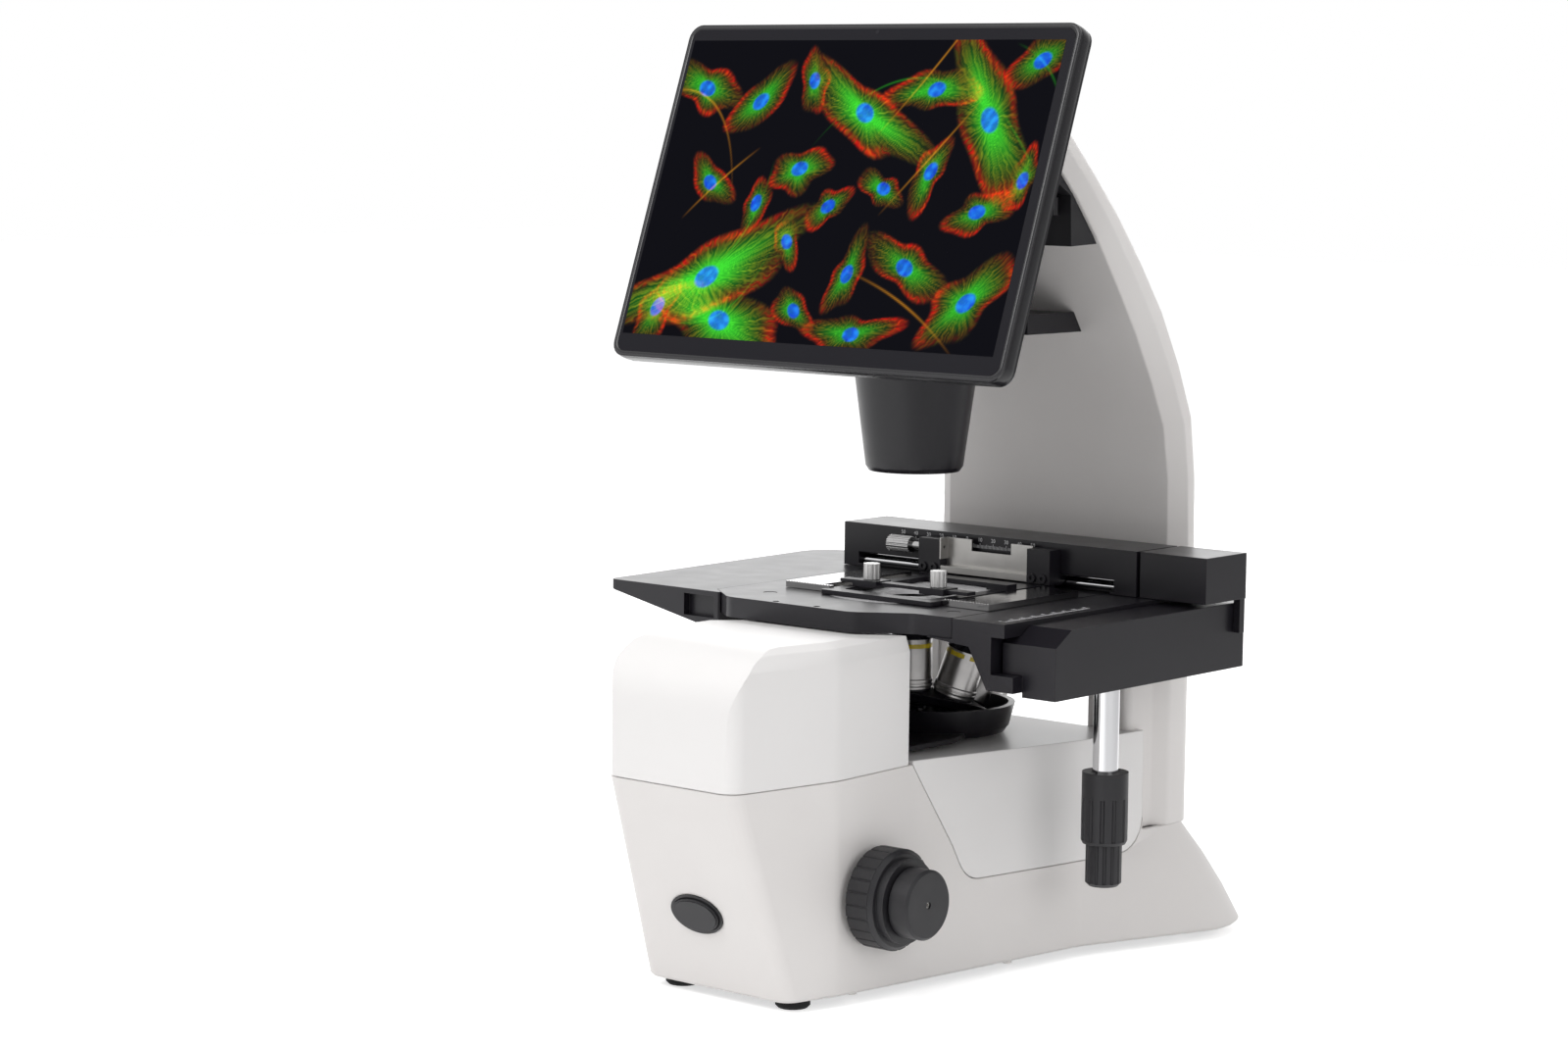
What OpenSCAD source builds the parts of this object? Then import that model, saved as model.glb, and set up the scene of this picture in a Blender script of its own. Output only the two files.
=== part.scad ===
/* [Base] */
// Height of the rubber feet, bench to the underside of the base
foot_h = 6; // [5:0.5:9]
// Diameter of a rubber foot
foot_d = 20; // [16:1:24]
// Height of the seam between the base and the front cover
seam_z = 129; // [122:1:134]
// Wall of the moulded covers
wall = 3; // [2.5:0.1:3.5]
// Half width of the front face at the bottom
front_half = 53; // [50:0.5:56]
// Distance from the optical axis to the front face at the bottom
front_y = 174; // [168:1:180]
// How far the front face leans forward from the bottom to the seam
front_lean = 42; // [36:1:46]
// Half width of the rear skirt at the bench
skirt_half = 123; // [118:1:128]
// Distance from the optical axis to the back of the skirt
skirt_y = 208; // [202:1:214]
// Height where the skirt meets the pillar
skirt_z = 70; // [66:1:74]
// Hairline gap between neighbouring covers
seam_gap = 0.4; // [0.3:0.05:0.6]

/* [Deck and front cover] */
// Height of the flat deck behind the front cover
deck_z = 131; // [125:1:136]
// Height of the lower edge of the deck housing
deck_low_z = 58.5; // [54:0.5:64]
// Front edge of the deck housing, ahead of the optical axis
deck_front_y = 70; // [66:1:74]
// Height of the front cover at its crown
cover_top_z = 207; // [204:0.5:209]
// Radius of the rounded top front edge of the cover
cover_round = 38; // [32:1:44]
// Hole through the deck for the light path
light_hole_d = 34; // [28:1:40]

/* [Arm] */
// Half width of the inner face of the arm
arm_half = 84; // [80:1:88]
// Half width over the outer bands of the arm
arm_outer_half = 95; // [93:1:97]
// Distance from the optical axis to the straight inner face
arm_face_y = 143; // [141:1:150]
// Depth of the straight lower part of the arm
arm_depth = 22; // [21:0.5:25]
// Half width of the open window under the arm
window_half = 57; // [50:1:60]
// Distance from the optical axis to the front of the stage legs
leg_y = 100.5; // [98:0.5:104]
// Top of the sill between the legs
sill_z = 105; // [98:1:112]

/* [Stage] */
// Height of the stage surface above the bench
stage_z = 216.7; // [215:0.1:222]
// Thickness of the stage plate
stage_t = 12; // [10:0.5:13]
// Front edge of the stage plate, ahead of the optical axis
stage_front_y = 92; // [88:1:96]
// Rear edge of the stage plate
stage_back_y = 136; // [130:1:138]
// Diameter of the round stage insert
insert_d = 104; // [98:1:108]
// Hole in the stage insert for the objective
insert_hole_d = 32; // [28:1:36]
// Spacing of the two accessory holes at the front
accessory_pitch = 31; // [28:1:34]
// Diameter of an accessory hole
accessory_d = 4; // [3:0.5:5]
// Reach of the left extension wing from the axis
wing_x = 180; // [170:1:190]
// Outer side of the right slide housing
slide_x = 152.6; // [150:0.2:156]
// Height of the right slide housing
slide_h = 39; // [36:0.5:42]

/* [Mechanical stage] */
// Distance from the axis to the front of the cross housing
cross_y = 75.2; // [72:0.2:78]
// Depth of the cross housing
cross_depth = 42; // [38:1:44]
// Height of the cross housing above the stage
cross_h = 27.5; // [26:0.5:30]
// Diameter of the two guide rods
rod_d = 4; // [3:0.5:5]
// Thickness of the two specimen plates
jaw_t = 3.6; // [3:0.2:4.4]
// Width of a specimen plate
jaw_w = 35; // [30:1:38]
// Length of a specimen plate
jaw_l = 88; // [84:1:92]
// Diameter of the chrome control tube
tube_d = 15; // [13:0.5:16]
// Diameter of the upper control knob
knob_up_d = 27; // [25:0.5:30]
// Diameter of the lower control knob
knob_low_d = 21; // [19:0.5:23]

/* [Nosepiece] */
// Radius on which the objectives stand
turret_r = 21.7; // [21.5:0.1:23]
// Tilt of the turret, which makes the working objective stand upright
turret_tilt = 15; // [13:0.5:16]
// Number of objective positions
positions = 5; // [5:1:5]
// Outer radius of the cup round the turret
cup_r = 47; // [45:0.5:49]
// Height of the rim of the cup
cup_z = 150; // [148:0.5:152]
// Radius of the standard objective thread
thread_r = 10.16; // [10.16:0.01:10.3]
// Radius of an objective barrel
barrel_r = 12.4; // [11.5:0.1:12.6]

/* [Focus] */
// Distance from the optical axis to the focus shaft
focus_y = 111; // [109:0.5:113]
// Height of the focus shaft
focus_z = 60; // [56:0.5:64]
// Diameter of a coarse focus knob
coarse_d = 58; // [52:1:62]
// Diameter of a fine focus knob
fine_d = 40; // [36:1:42]
// Diameter of the hollow coarse shaft
coarse_shaft_d = 12; // [11:0.5:14]
// Diameter of the fine shaft inside it
fine_shaft_d = 6; // [5:0.5:7]
// Module of the pinion and rack
gear_module = 0.8; // [0.7:0.05:0.9]
// Teeth of the pinion
pinion_teeth = 20; // [18:1:22]

/* [Lighting and screen] */
// Radius of the condenser at its lower end
condenser_low_r = 28.5; // [26:0.5:31]
// Height of the lower end of the condenser
condenser_z = 290; // [284:1:296]
// Radius of the condenser at its upper end
condenser_top_r = 39; // [36:0.5:41]
// Length of the tapered condenser housing
condenser_h = 78; // [74:1:79]
// Width of the screen
screen_w = 290.5; // [280:0.5:300]
// Length of the screen along its face
screen_h = 208; // [200:1:214]
// Thickness of the screen housing
screen_t = 11; // [9:0.5:13]
// Backward tilt of the screen
screen_tilt = 19.8; // [15:0.1:24]
// Width of the power button
button_w = 34; // [30:1:36]
// Height of the power button
button_h = 20; // [18:0.5:22]

/* [Hidden] */
$fn = 48;

foot_lift = foot_h;
fit = 0.05;
run = 0.3;
white = "whitesmoke";
black = "dimgray";
steel = "silver";

// Outline helpers
function mix(a, b, t) = a + (b - a) * t;
function unit(v) = v / norm(v);
function corner(a, b, c, r, n) =
  let (u = unit(a - b), w = unit(c - b), h = acos(u * w) / 2, s = b + u * (r / tan(h)),
    e = b + w * (r / tan(h)), o = b + unit(u + w) * (r / sin(h)), a0 = atan2(s.y - o.y, s.x - o.x),
    a1 = atan2(e.y - o.y, e.x - o.x), d = (a1 - a0 + 540) % 360 - 180)
  [for (i = [0:n]) o + r * [cos(a0 + d * i / n), sin(a0 + d * i / n)]];
// Corners are given as x, y, radius, steps
function rounded(p) = let (m = len(p)) [for (i = [0:m - 1])
  each corner(xy(p[(i + m - 1) % m]), xy(p[i]), xy(p[(i + 1) % m]), p[i][2], p[i][3])];
function xy(p) = [p.x, p.y];
function mirrored(half) = concat(half, [for (i = [len(half) - 1:-1:0]) [-half[i].x, half[i].y, half[i][2],
  half[i][3]]]);
function level(outline, z) = [for (p = outline) [p.x, p.y, z]];

// Closed skin through rings with equal numbers of points, counter-clockwise from the far end
module skin(rings) {
  n = len(rings[0]);
  m = len(rings);
  polyhedron(points = [for (r = rings) each r], faces = concat([[for (i = [0:n - 1]) i]],
    [[for (i = [n - 1:-1:0]) (m - 1) * n + i]],
    [for (j = [0:m - 2], i = [0:n - 1]) let (k = (i + 1) % n, a = j * n, b = a + n)
      each [[a + i, b + i, b + k], [a + i, b + k, a + k]]]));
}
module slab(p, z0, z1) translate([0, 0, z0]) linear_extrude(z1 - z0) polygon(rounded(p));
module box(x0, x1, y0, y1, z0, z1) translate([x0, y0, z0]) cube([x1 - x0, y1 - y0, z1 - z0]);
// An outline in the plane of depth and height, drawn through from x0 to x1
module side_slab(points, x0, x1) translate([x0, 0, 0]) rotate([90, 0, 90]) linear_extrude(x1 - x0)
  polygon(points);
module x_rod(d, x0, x1, y, z) translate([x0, y, z]) rotate([0, 90, 0]) cylinder(d = d, h = x1 - x0);
module y_rod(d, y0, y1, x, z) translate([x, y0, z]) rotate([-90, 0, 0]) cylinder(d = d, h = y1 - y0);

// Lower body, front to back, with the skirt that spreads towards the bench
crease_y = 141;
body_top = seam_z;
bend_z = skirt_z - 1;
function flare(z) = z >= bend_z ? 0 : let (t = (bend_z - z) / (bend_z - foot_h)) t * (1.25 - 0.25 * t);
function rise(z) = (z - foot_h) / (seam_z - foot_h);
function body(z, s) = rounded(mirrored([
  [mix(front_half, front_half - 6, rise(z)) - s, -front_y - front_lean * rise(z) + s, 11 - s, 5],
  [mix(62, 60.5, rise(z)) - s, -crease_y + s / 3, 30, 3],
  [mix(72, 57.3, rise(z)) - s, -deck_front_y, 30, 3],
  [mix(88, 86, rise(z)) - s, 55, 30, 3],
  [mix(arm_outer_half, skirt_half, flare(z)) - s, mix(136, 150, flare(z)), 20, 3],
  [mix(arm_outer_half, skirt_half, flare(z)) - s, mix(arm_face_y + arm_depth, skirt_y, flare(z)) - s,
    mix(24, 48, flare(z)), 8]]));
levels = [foot_lift + 1.5, foot_lift + 22, foot_lift + 43, bend_z, deck_z + 2];
module body_solid() skin(concat([level(body(foot_lift, 2.6), foot_lift - 1)],
  [for (z = levels) level(body(z, 0), z)]));
// The hollow inside steps inwards with height and stays behind the leaning front
steps = [foot_lift + 20, foot_lift + 41, bend_z, 97, deck_z + 5];
module body_hollow(top) intersection() {
  side_slab([[-front_y + 8, foot_lift - 3], [300, foot_lift - 3], [300, top], [-front_y + 8 - front_lean * rise(top), top]],
    -200, 200);
  union() for (k = [0:len(steps) - 1]) {
    z0 = k == 0 ? foot_lift - 3 : steps[k - 1] - 0.5;
    translate([0, 0, z0]) linear_extrude(steps[k] - z0) polygon(body(steps[k], wall));
  }
}

// Outline of the deck housing seen from the side, grown by g
deck_back_y = leg_y + 10;
function deck_side(g) = rounded([[-deck_front_y - 30 - g, deck_z + 60, 1, 1],
  [-deck_front_y + 35 - g, deck_low_z - g, 14, 6], [deck_back_y + g, deck_low_z - g, 20, 6],
  [deck_back_y + g, deck_z + 60, 1, 1]]);

// Standard places
front_angle = atan(front_lean / (seam_z - foot_h));
button_z = 52.5;
function front_face(z) = -front_y - front_lean * rise(z);
knob_wall_x = 64;
feet = [[41.5, -155.2], [-41.5, -155.2], [96, 176], [-96, 176]];
plate_z = foot_lift + 2;
// The rear posts stand in the side walls, wherever those are at the top of a post
post_h = 26;
rear_post_x = mix(arm_outer_half, skirt_half, flare(plate_z + post_h)) - 9.3;
screw_sites = [[57, -122], [-57, -122], [75, 0], [-75, 0], [rear_post_x, 140], [-rear_post_x, 140]];

module base_housing() color(white) difference() {
  union() {
    difference() {
      intersection() {
        body_solid();
        union() {
          box(-200, 200, -260, -deck_front_y + 45, foot_lift, seam_z - seam_gap / 2);
          box(-200, 200, -deck_front_y + 44, 260, foot_lift, skirt_z);
          box(-200, 200, deck_back_y - 20, deck_back_y + seam_gap, foot_lift, deck_low_z + 19);
        }
      }
      side_slab(deck_side(seam_gap), -200, 200);
      body_hollow(deck_z + 5);
    }
    for (s = [-1, 1]) x_rod(coarse_shaft_d + 10, min(s * knob_wall_x, s * 34), max(s * knob_wall_x, s * 34),
      -focus_y, focus_z);
    for (p = screw_sites) translate([p.x, p.y, plate_z + fit]) cylinder(d = 9, h = post_h);
    box(-80, 80, 140, back_y - 3, skirt_z - 8, skirt_z - 0.5);
    box(-24, 24, 198, 205, 22, 54);
  }
  x_rod(coarse_shaft_d + 2 * fit, -90, 90, -focus_y, focus_z);
  for (p = screw_sites) translate([p.x, p.y, plate_z - 1]) cylinder(d = 3.2, h = 14);
  button_place() translate([0, 0, -6]) linear_extrude(12) oval(button_w + 4 + 2 * fit, button_h + 4 + 2 * fit);
  translate([0, 0, inlet_z]) box(-inlet_w / 2 - 0.2, inlet_w / 2 + 0.2, 178, 230, -inlet_h / 2 - 0.2, inlet_h / 2 + 0.2);
  box(-30, 30, 130, back_y - 10, skirt_z - 9, skirt_z + 1);
}

module bottom_plate() color("gray") difference() {
  intersection() {
    translate([0, 0, foot_lift]) linear_extrude(plate_z - foot_lift) polygon(body(steps[0], wall + 0.3));
    box(-200, 200, -front_y + 8.6, 300, 0, 50);
  }
  for (p = screw_sites) translate([p.x, p.y, 0]) cylinder(d = 3.4, h = 20);
  for (x = [-30:10:30]) box(x - 2, x + 2, 30, 70, 0, 20);
}
module rubber_feet() color("black") for (p = feet) translate([p.x, p.y, 0]) {
  cylinder(d1 = foot_d - 3, d2 = foot_d, h = 1.5);
  translate([0, 0, 1.5]) cylinder(d = foot_d, h = foot_lift - 1.5);
}
module base_screws() color(steel) for (p = screw_sites) translate([p.x, p.y, 0]) {
  translate([0, 0, foot_lift - 2]) cylinder(d = 6, h = 2);
  translate([0, 0, foot_lift]) cylinder(d = 3, h = 12);
}

// Power button, set square to the leaning front face
module oval(w, h) polygon([for (a = [0:7.5:359]) [w / 2 * cos(a), h / 2 * sin(a)]]);
module button_place() translate([0, front_face(button_z), button_z]) rotate([90 + front_angle, 0, 0])
  children();
button_travel = 1.2;
module power_bezel() color("black") button_place() difference() {
  translate([0, 0, -5]) linear_extrude(6) oval(button_w + 4, button_h + 4);
  translate([0, 0, -3]) linear_extrude(6) oval(button_w + 2 * run, button_h + 2 * run);
}
module power_button() color(black) button_place() {
  translate([0, 0, -3 + button_travel + 0.3]) linear_extrude(5 - button_travel) oval(button_w, button_h);
  translate([0, 0, 2.3]) linear_extrude(0.7) oval(button_w - 2, button_h - 2);
}

inlet_z = 38;
inlet_w = 27;
inlet_h = 20;
inlet_y = skirt_y - 0.5;
module power_inlet() color("black") translate([0, 0, inlet_z]) difference() {
  union() {
    box(-inlet_w / 2, inlet_w / 2, 180, inlet_y - 8, -inlet_h / 2, inlet_h / 2);
    box(-inlet_w / 2, inlet_w / 2, 180, inlet_y - 2, -inlet_h / 2, inlet_h / 2);
  }
  box(-11.5, 11.5, inlet_y - 16, inlet_y + 2, -7.5, 7.5);
}

module deck_housing() color(white) difference() {
  union() {
    difference() {
      intersection() {
        body_solid();
        side_slab(deck_side(0), -200, 200);
        box(-200, 200, -deck_front_y + seam_gap, 260, 0, deck_z - 0.01);
      }
      body_hollow(deck_z - wall);
    }
    box(-window_half - 8, window_half + 8, leg_y - wall, leg_y, deck_low_z + 1, deck_z - 1);
  }
  translate([0, 0, deck_z - 10]) cylinder(d = light_hole_d, h = 20);
  box(-window_half, window_half, leg_y, 260, 0, 300);
}

// Front cover: the plan of the body at the seam, rising to a rounded top front edge
cover_back_y = -deck_front_y - 4;
function cover_drop(y, r) = let (f = front_face(seam_z) + 2 + r) y > f ? 0 : r - sqrt(max(0, r * r - pow(f - y, 2)));
function cover_profile(s) = concat(
  [[cover_back_y, seam_z + seam_gap / 2 - (s > 0 ? 2 : 0)], [cover_back_y, stage_z - stage_t - 1 - s]],
  [[-stage_front_y, stage_z - stage_t - 1 - s], [-stage_front_y - 30, cover_top_z - s]],
  [for (a = [90:9:180]) [front_face(seam_z) + s + 1.5 + (cover_round - s) * (1 + cos(a)),
    cover_top_z - s - (cover_round - s) * (1 - sin(a))]],
  [[front_face(seam_z) + s, seam_z + seam_gap / 2 - (s > 0 ? 2 : 0)]]);
function cover_plan(s) = mirrored([
  [front_half - 6 - s, front_face(seam_z) + s, 12 - s, 6], [60.5 - s, -crease_y, 30, 4],
  [57.3 - s, cover_back_y + 8, 2, 1]]);
module cover_form(s) intersection() {
  side_slab(cover_profile(s), -90, 90);
  hull() {
    slab(cover_plan(s), seam_z - 4, cover_top_z - 12);
    slab(cover_plan(s + 3), cover_top_z - 11, cover_top_z - 3.5);
    slab(cover_plan(s + 9), cover_top_z - 3, cover_top_z + 1);
  }
}
module front_cover() color(white) difference() {
  cover_form(0);
  translate([0, 0, 0]) cover_form(wall);
  box(-54, 54, cover_back_y - 8, cover_back_y + 10, seam_z - 5, stage_z - stage_t - 5);
}

// Arm: pairs of points on its inner and outer curve, as depth and height
back_y = arm_face_y + arm_depth;
stations = [
  [[arm_face_y, stage_z - stage_t - 2], [back_y, stage_z - stage_t - 2]],
  [[arm_face_y, 245], [back_y, 245]],
  [[arm_face_y - 0.5, 280], [back_y - 0.5, 282]],
  [[arm_face_y - 6, 313], [back_y - 4, 320.5]],
  [[arm_face_y - 19, 340], [back_y - 17, 352.5]],
  [[arm_face_y - 37, 371], [back_y - 35.5, 386]],
  [[arm_face_y - 57, 400], [back_y - 58, 415]],
  [[arm_face_y - 79, 430], [back_y - 83.5, 443.5]],
  [[arm_face_y - 100, 454.5], [back_y - 108, 467.5]],
  [[arm_face_y - 121, 475], [back_y - 131, 490]],
  [[arm_face_y - 143, 489], [back_y - 155.5, 506.5]],
  [[arm_face_y - 161, 496.5], [back_y - 174.5, 519]],
  [[arm_face_y - 173, 500], [back_y - 187, 524]]];
function station_ring(k, s) =
  let (i = stations[k][0], o = stations[k][1], t = norm(o - i), d = (o - i) / t,
    h = arm_half - k * 0.17, w = mix(arm_outer_half, arm_half + 5, k / (len(stations) - 1)),
    q = rounded(mirrored([[h - s, s, max(0.5, 2 - s), 2], [w - s, min(9, t / 3) + s / 2, 1.5, 2],
      [w - s, t - s, min(20, t * 0.55) - 1.6 * s, 6]])))
  [for (p = q) [p.x, i.x + d.x * p.y, i.y + d.y * p.y]];
module arm_leg(s) mirror([s < 0 ? 1 : 0, 0, 0]) {
  slab([[window_half, leg_y, 2, 3], [88, leg_y, 5, 5], [88, 125, 4, 3], [arm_outer_half, 134, 6, 3],
    [arm_outer_half, back_y, 19, 8], [window_half, back_y, 2, 3]], deck_z, stage_z - stage_t);
  slab([[window_half - 6, deck_back_y + seam_gap, 2, 3], [88, deck_back_y + seam_gap, 2, 3], [88, 125, 4, 3],
    [arm_outer_half, 134, 6, 3], [arm_outer_half, back_y, 19, 8], [window_half - 6, back_y, 2, 3]],
    skirt_z, deck_z + 0.5);
}
module arm_shell() color(white) difference() {
  union() {
    skin([for (k = [0:len(stations) - 1]) station_ring(k, 0)]);
    for (s = [-1, 1]) arm_leg(s);
    box(-window_half - 1, window_half + 1, leg_y + seam_gap, back_y - 0.5, skirt_z, sill_z);
  }
  skin([for (k = [1:len(stations) - 2]) station_ring(k, 4)]);
  for (s = [-1, 1]) box(s * 75 - 9, s * 75 + 9, 147, back_y - 8, skirt_z - 1, 250);
  box(-50, 50, 122, back_y - 8, skirt_z - 1, sill_z - 4);
  side_slab([[4, 470], [22.3, 484.1], [44.3, 466.1], [30, 448]], -40, 40);
}

// Stage
insert_seat = 3;
rail_x0 = 86;
plate_right = rail_x0 - 1.2;
rail_top_x = 123;
housing_in_x = 115.6;
stage_low_z = stage_z - stage_t;
slide_low_z = stage_low_z + 9.5 - slide_h;
seam_x = 92;
accessory_x = -16;
accessory_y = -88 + 92 - stage_front_y;
screw_spots = [[-60, 120], [60, 120], [-60, -60], [70, -50]];
module stage_plate() color(black) difference() {
  union() {
    slab([[-seam_x, -71, 2, 2], [-66, -stage_front_y, 14, 5], [28, -stage_front_y, 14, 5],
      [58, -71, 14, 5], [plate_right, -70, 1, 1], [plate_right, stage_back_y, 3, 2],
      [-seam_x, stage_back_y, 3, 2]], stage_low_z, stage_z);
  }
  translate([0, 0, stage_z - insert_seat]) cylinder(d = insert_d, h = 10);
  translate([0, 0, stage_low_z - 1]) cylinder(d = insert_d - 8, h = 30);
  for (s = [-1, 1]) translate([accessory_x + s * accessory_pitch / 2, accessory_y, stage_low_z - 1])
    cylinder(d = accessory_d, h = 30);
  for (p = screw_spots) translate([p.x, p.y, stage_low_z - 1]) {
    cylinder(d = 4.4, h = 30);
    translate([0, 0, stage_t - 3]) cylinder(d = 8.4, h = 10);
  }
}
module left_wing() color(black) difference() {
  union() {
    intersection() {
      slab([[-wing_x + 9, -81, 5, 3], [-82, -81, 1, 1], [-82, stage_back_y - 6, 1, 1],
        [-wing_x, stage_back_y - 2, 22, 8]], stage_low_z - 10, stage_z);
      translate([0, 200, 0]) rotate([90, 0, 0]) linear_extrude(400) polygon([[-wing_x - 1, stage_z],
        [-wing_x - 1, stage_z - 3.5], [-wing_x + 2, stage_z - 4], [-seam_x - 8, stage_low_z - 8],
        [-seam_x + 20, stage_low_z - 8], [-seam_x + 20, stage_z]]);
    }
  }
  slab([[-seam_x - 0.2, -71.2, 1, 1], [-66.2, -92.4, 1, 1], [0, -92.4, 1, 1], [0, stage_back_y + 10, 1, 1],
    [-seam_x - 0.2, stage_back_y + 10, 1, 1]], stage_low_z - 0.2, stage_z + 1);
  box(-110, -86, -85, -76, stage_low_z - 4, stage_z - 3);
  box(-arm_outer_half - 1.5, 0, leg_y - 2, 200, stage_low_z - 20, stage_low_z - 0.2);
}
module stage_insert() color("gainsboro") translate([0, 0, stage_z - insert_seat]) difference() {
  cylinder(d = insert_d - 0.4, h = insert_seat - 0.2);
  translate([0, 0, -1]) cylinder(d = insert_hole_d, h = 10);
}
// Right slide: a channelled rail level with the stage, and the closed housing beside it
module slide_housing() color(black) difference() {
  union() {
    translate([0, stage_back_y - 11, 0]) rotate([90, 0, 0]) linear_extrude(stage_back_y - 11 + 72)
      polygon([[rail_x0, stage_z], [rail_top_x, stage_z], [rail_top_x, stage_low_z + 4],
        [housing_in_x - 1.8, stage_low_z + 4], [housing_in_x - 1.8, slide_low_z + 12.2],
        [housing_in_x + 14, slide_low_z + 12.2], [housing_in_x + 14, slide_low_z + 3],
        [rail_x0 + 25, slide_low_z + 3], [rail_x0 + 12, stage_low_z - 3], [rail_x0 - 18, stage_low_z - 0.4],
        [rail_x0 - 18, stage_low_z], [rail_x0, stage_low_z]]);
    difference() {
      side_slab([[-48.4, stage_z - 2.5], [-63.2, stage_low_z + 0.4], [-63.2, slide_low_z],
        [stage_back_y - 11, slide_low_z], [stage_back_y - 11, stage_z - 2.5]], housing_in_x, slide_x);
      box(housing_in_x - 1, rail_top_x + 0.3, -80, 200, stage_low_z + 3.9, stage_z);
      box(housing_in_x - 1, housing_in_x + 14, -80, 200, slide_low_z - 1, slide_low_z + 12.4);
    }
  }
  translate([tube_x, tube_y, slide_low_z - 1]) cylinder(d = tube_d + 0.04, h = 13);
  box(0, arm_outer_half + 1.5, leg_y - 0.4, 200, 100, stage_low_z + 0.01);
}
module stage_screws() color(steel) for (p = screw_spots) translate([p.x, p.y, stage_z]) {
  translate([0, 0, -3]) cylinder(d = 7.6, h = 2.8);
  translate([0, 0, -stage_t + 0.4]) cylinder(d = 4, h = stage_t - 3);
}

// Cross housing over the stage, which travels front to back
cross_x0 = -114.8;
cross_x1 = 158;
cross_low_z = stage_z + run;
slot_z0 = cross_low_z + 1.6;
slot_z1 = cross_low_z + 9;
rod_z = [slot_z0 + 2.4, slot_z1 - 2.2];
module cross_housing() color(black) difference() {
  union() {
    box(cross_x0, 109, cross_y, cross_y + cross_depth, cross_low_z, stage_z + cross_h);
    box(111, cross_x1, cross_y + 1, cross_y + cross_depth + 1, cross_low_z, stage_z + cross_h);
    box(108, 112, cross_y + 4, cross_y + cross_depth, cross_low_z, stage_z + cross_h - 0.6);
    box(slide_x + run + 0.1, cross_x1 - 0.6, cross_y + 38, cross_y + 43, stage_z - 20, cross_low_z + 2);
  }
  box(-103, 93, cross_y - 1, cross_y + 16, slot_z0, slot_z1);
  box(-100, 90, cross_y - 1, cross_y + 8, cross_low_z - 1, slot_z1);
}
module guide_rods() color(steel) for (k = [0, 1])
  x_rod(rod_d - k, -103, 93, cross_y + 5 + 6 * k, rod_z[k] + k * 0.2);

// Carriage on the rods, which travels left and right
block_y = cross_y - 11;
block_w = 17;
left_x = -46.5;
right_x = 36.5;
block_z0 = stage_z + 3.2;
module carriage_blocks() color("black") for (x = [left_x, right_x]) difference() {
  union() {
    box(x, x + block_w, block_y, cross_y - run, block_z0, stage_z + 24);
    box(x + 1, x + block_w - 1, cross_y - 2, cross_y + 14, slot_z0 + 0.4, slot_z1 - 0.4);
  }
  for (k = [0, 1]) x_rod(rod_d - k + 2 * fit, x - 1, x + block_w + 1, cross_y + 5 + 6 * k, rod_z[k] + k * 0.2);
  for (k = [4, 12]) y_rod(3.2, block_y - 1, block_y + 8, x + k, stage_z + 6.5);
}
module block_screws() color(steel) for (x = [left_x, right_x], k = [4, 12]) difference() {
  union() {
    y_rod(5.6, block_y - 1.2, block_y, x + k, stage_z + 6.5);
    y_rod(3, block_y, block_y + 7, x + k, stage_z + 6.5);
  }
  translate([x + k, block_y - 2, stage_z + 6.5]) rotate([-90, 0, 0]) cylinder(d = 2.6, h = 1.8, $fn = 6);
}
module carriage_plate() color(steel) {
  y0 = cross_y - 5;
  translate([0, y0 + 1.2, 0]) rotate([90, 0, 0]) linear_extrude(1.2) polygon([
    [left_x + block_w + 0.1, stage_z + 8], [left_x + block_w + 0.1, stage_z + 25], [-10, stage_z + 25],
    [-10, stage_z + 18], [20, stage_z + 18], [20, stage_z + 25], [right_x - 0.1, stage_z + 25],
    [right_x - 0.1, stage_z + 8]]);
  box(left_x + block_w + 0.1, right_x - 0.1, y0 - 5, y0 + 1.2, stage_z + 7, stage_z + 8);
  box(left_x + block_w + 0.1, right_x - 0.1, y0 - 5.9, y0 - 4.9, stage_z + 3.9, stage_z + 8);
  difference() {
    box(left_x + block_w + 0.1, left_x + block_w + 1.1, y0 - 7, y0 + 0.1, stage_z + 12, stage_z + 25);
    x_rod(2, left_x, right_x, y0 - 3.5, stage_z + 19);
  }
}
lock_z = stage_z + 18;
module lock_screw() color(steel) {
  x_rod(9.5, left_x - 26, left_x - 9, block_y + 5, lock_z);
  for (a = [0:20:359]) translate([left_x - 26, block_y + 5, lock_z]) rotate([a, 0, 0]) rotate([0, 90, 0])
    translate([4.75, 0, 0]) cylinder(d = 1, h = 17, $fn = 6);
  x_rod(5, left_x - 9, left_x - run, block_y + 5, lock_z);
}

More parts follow.
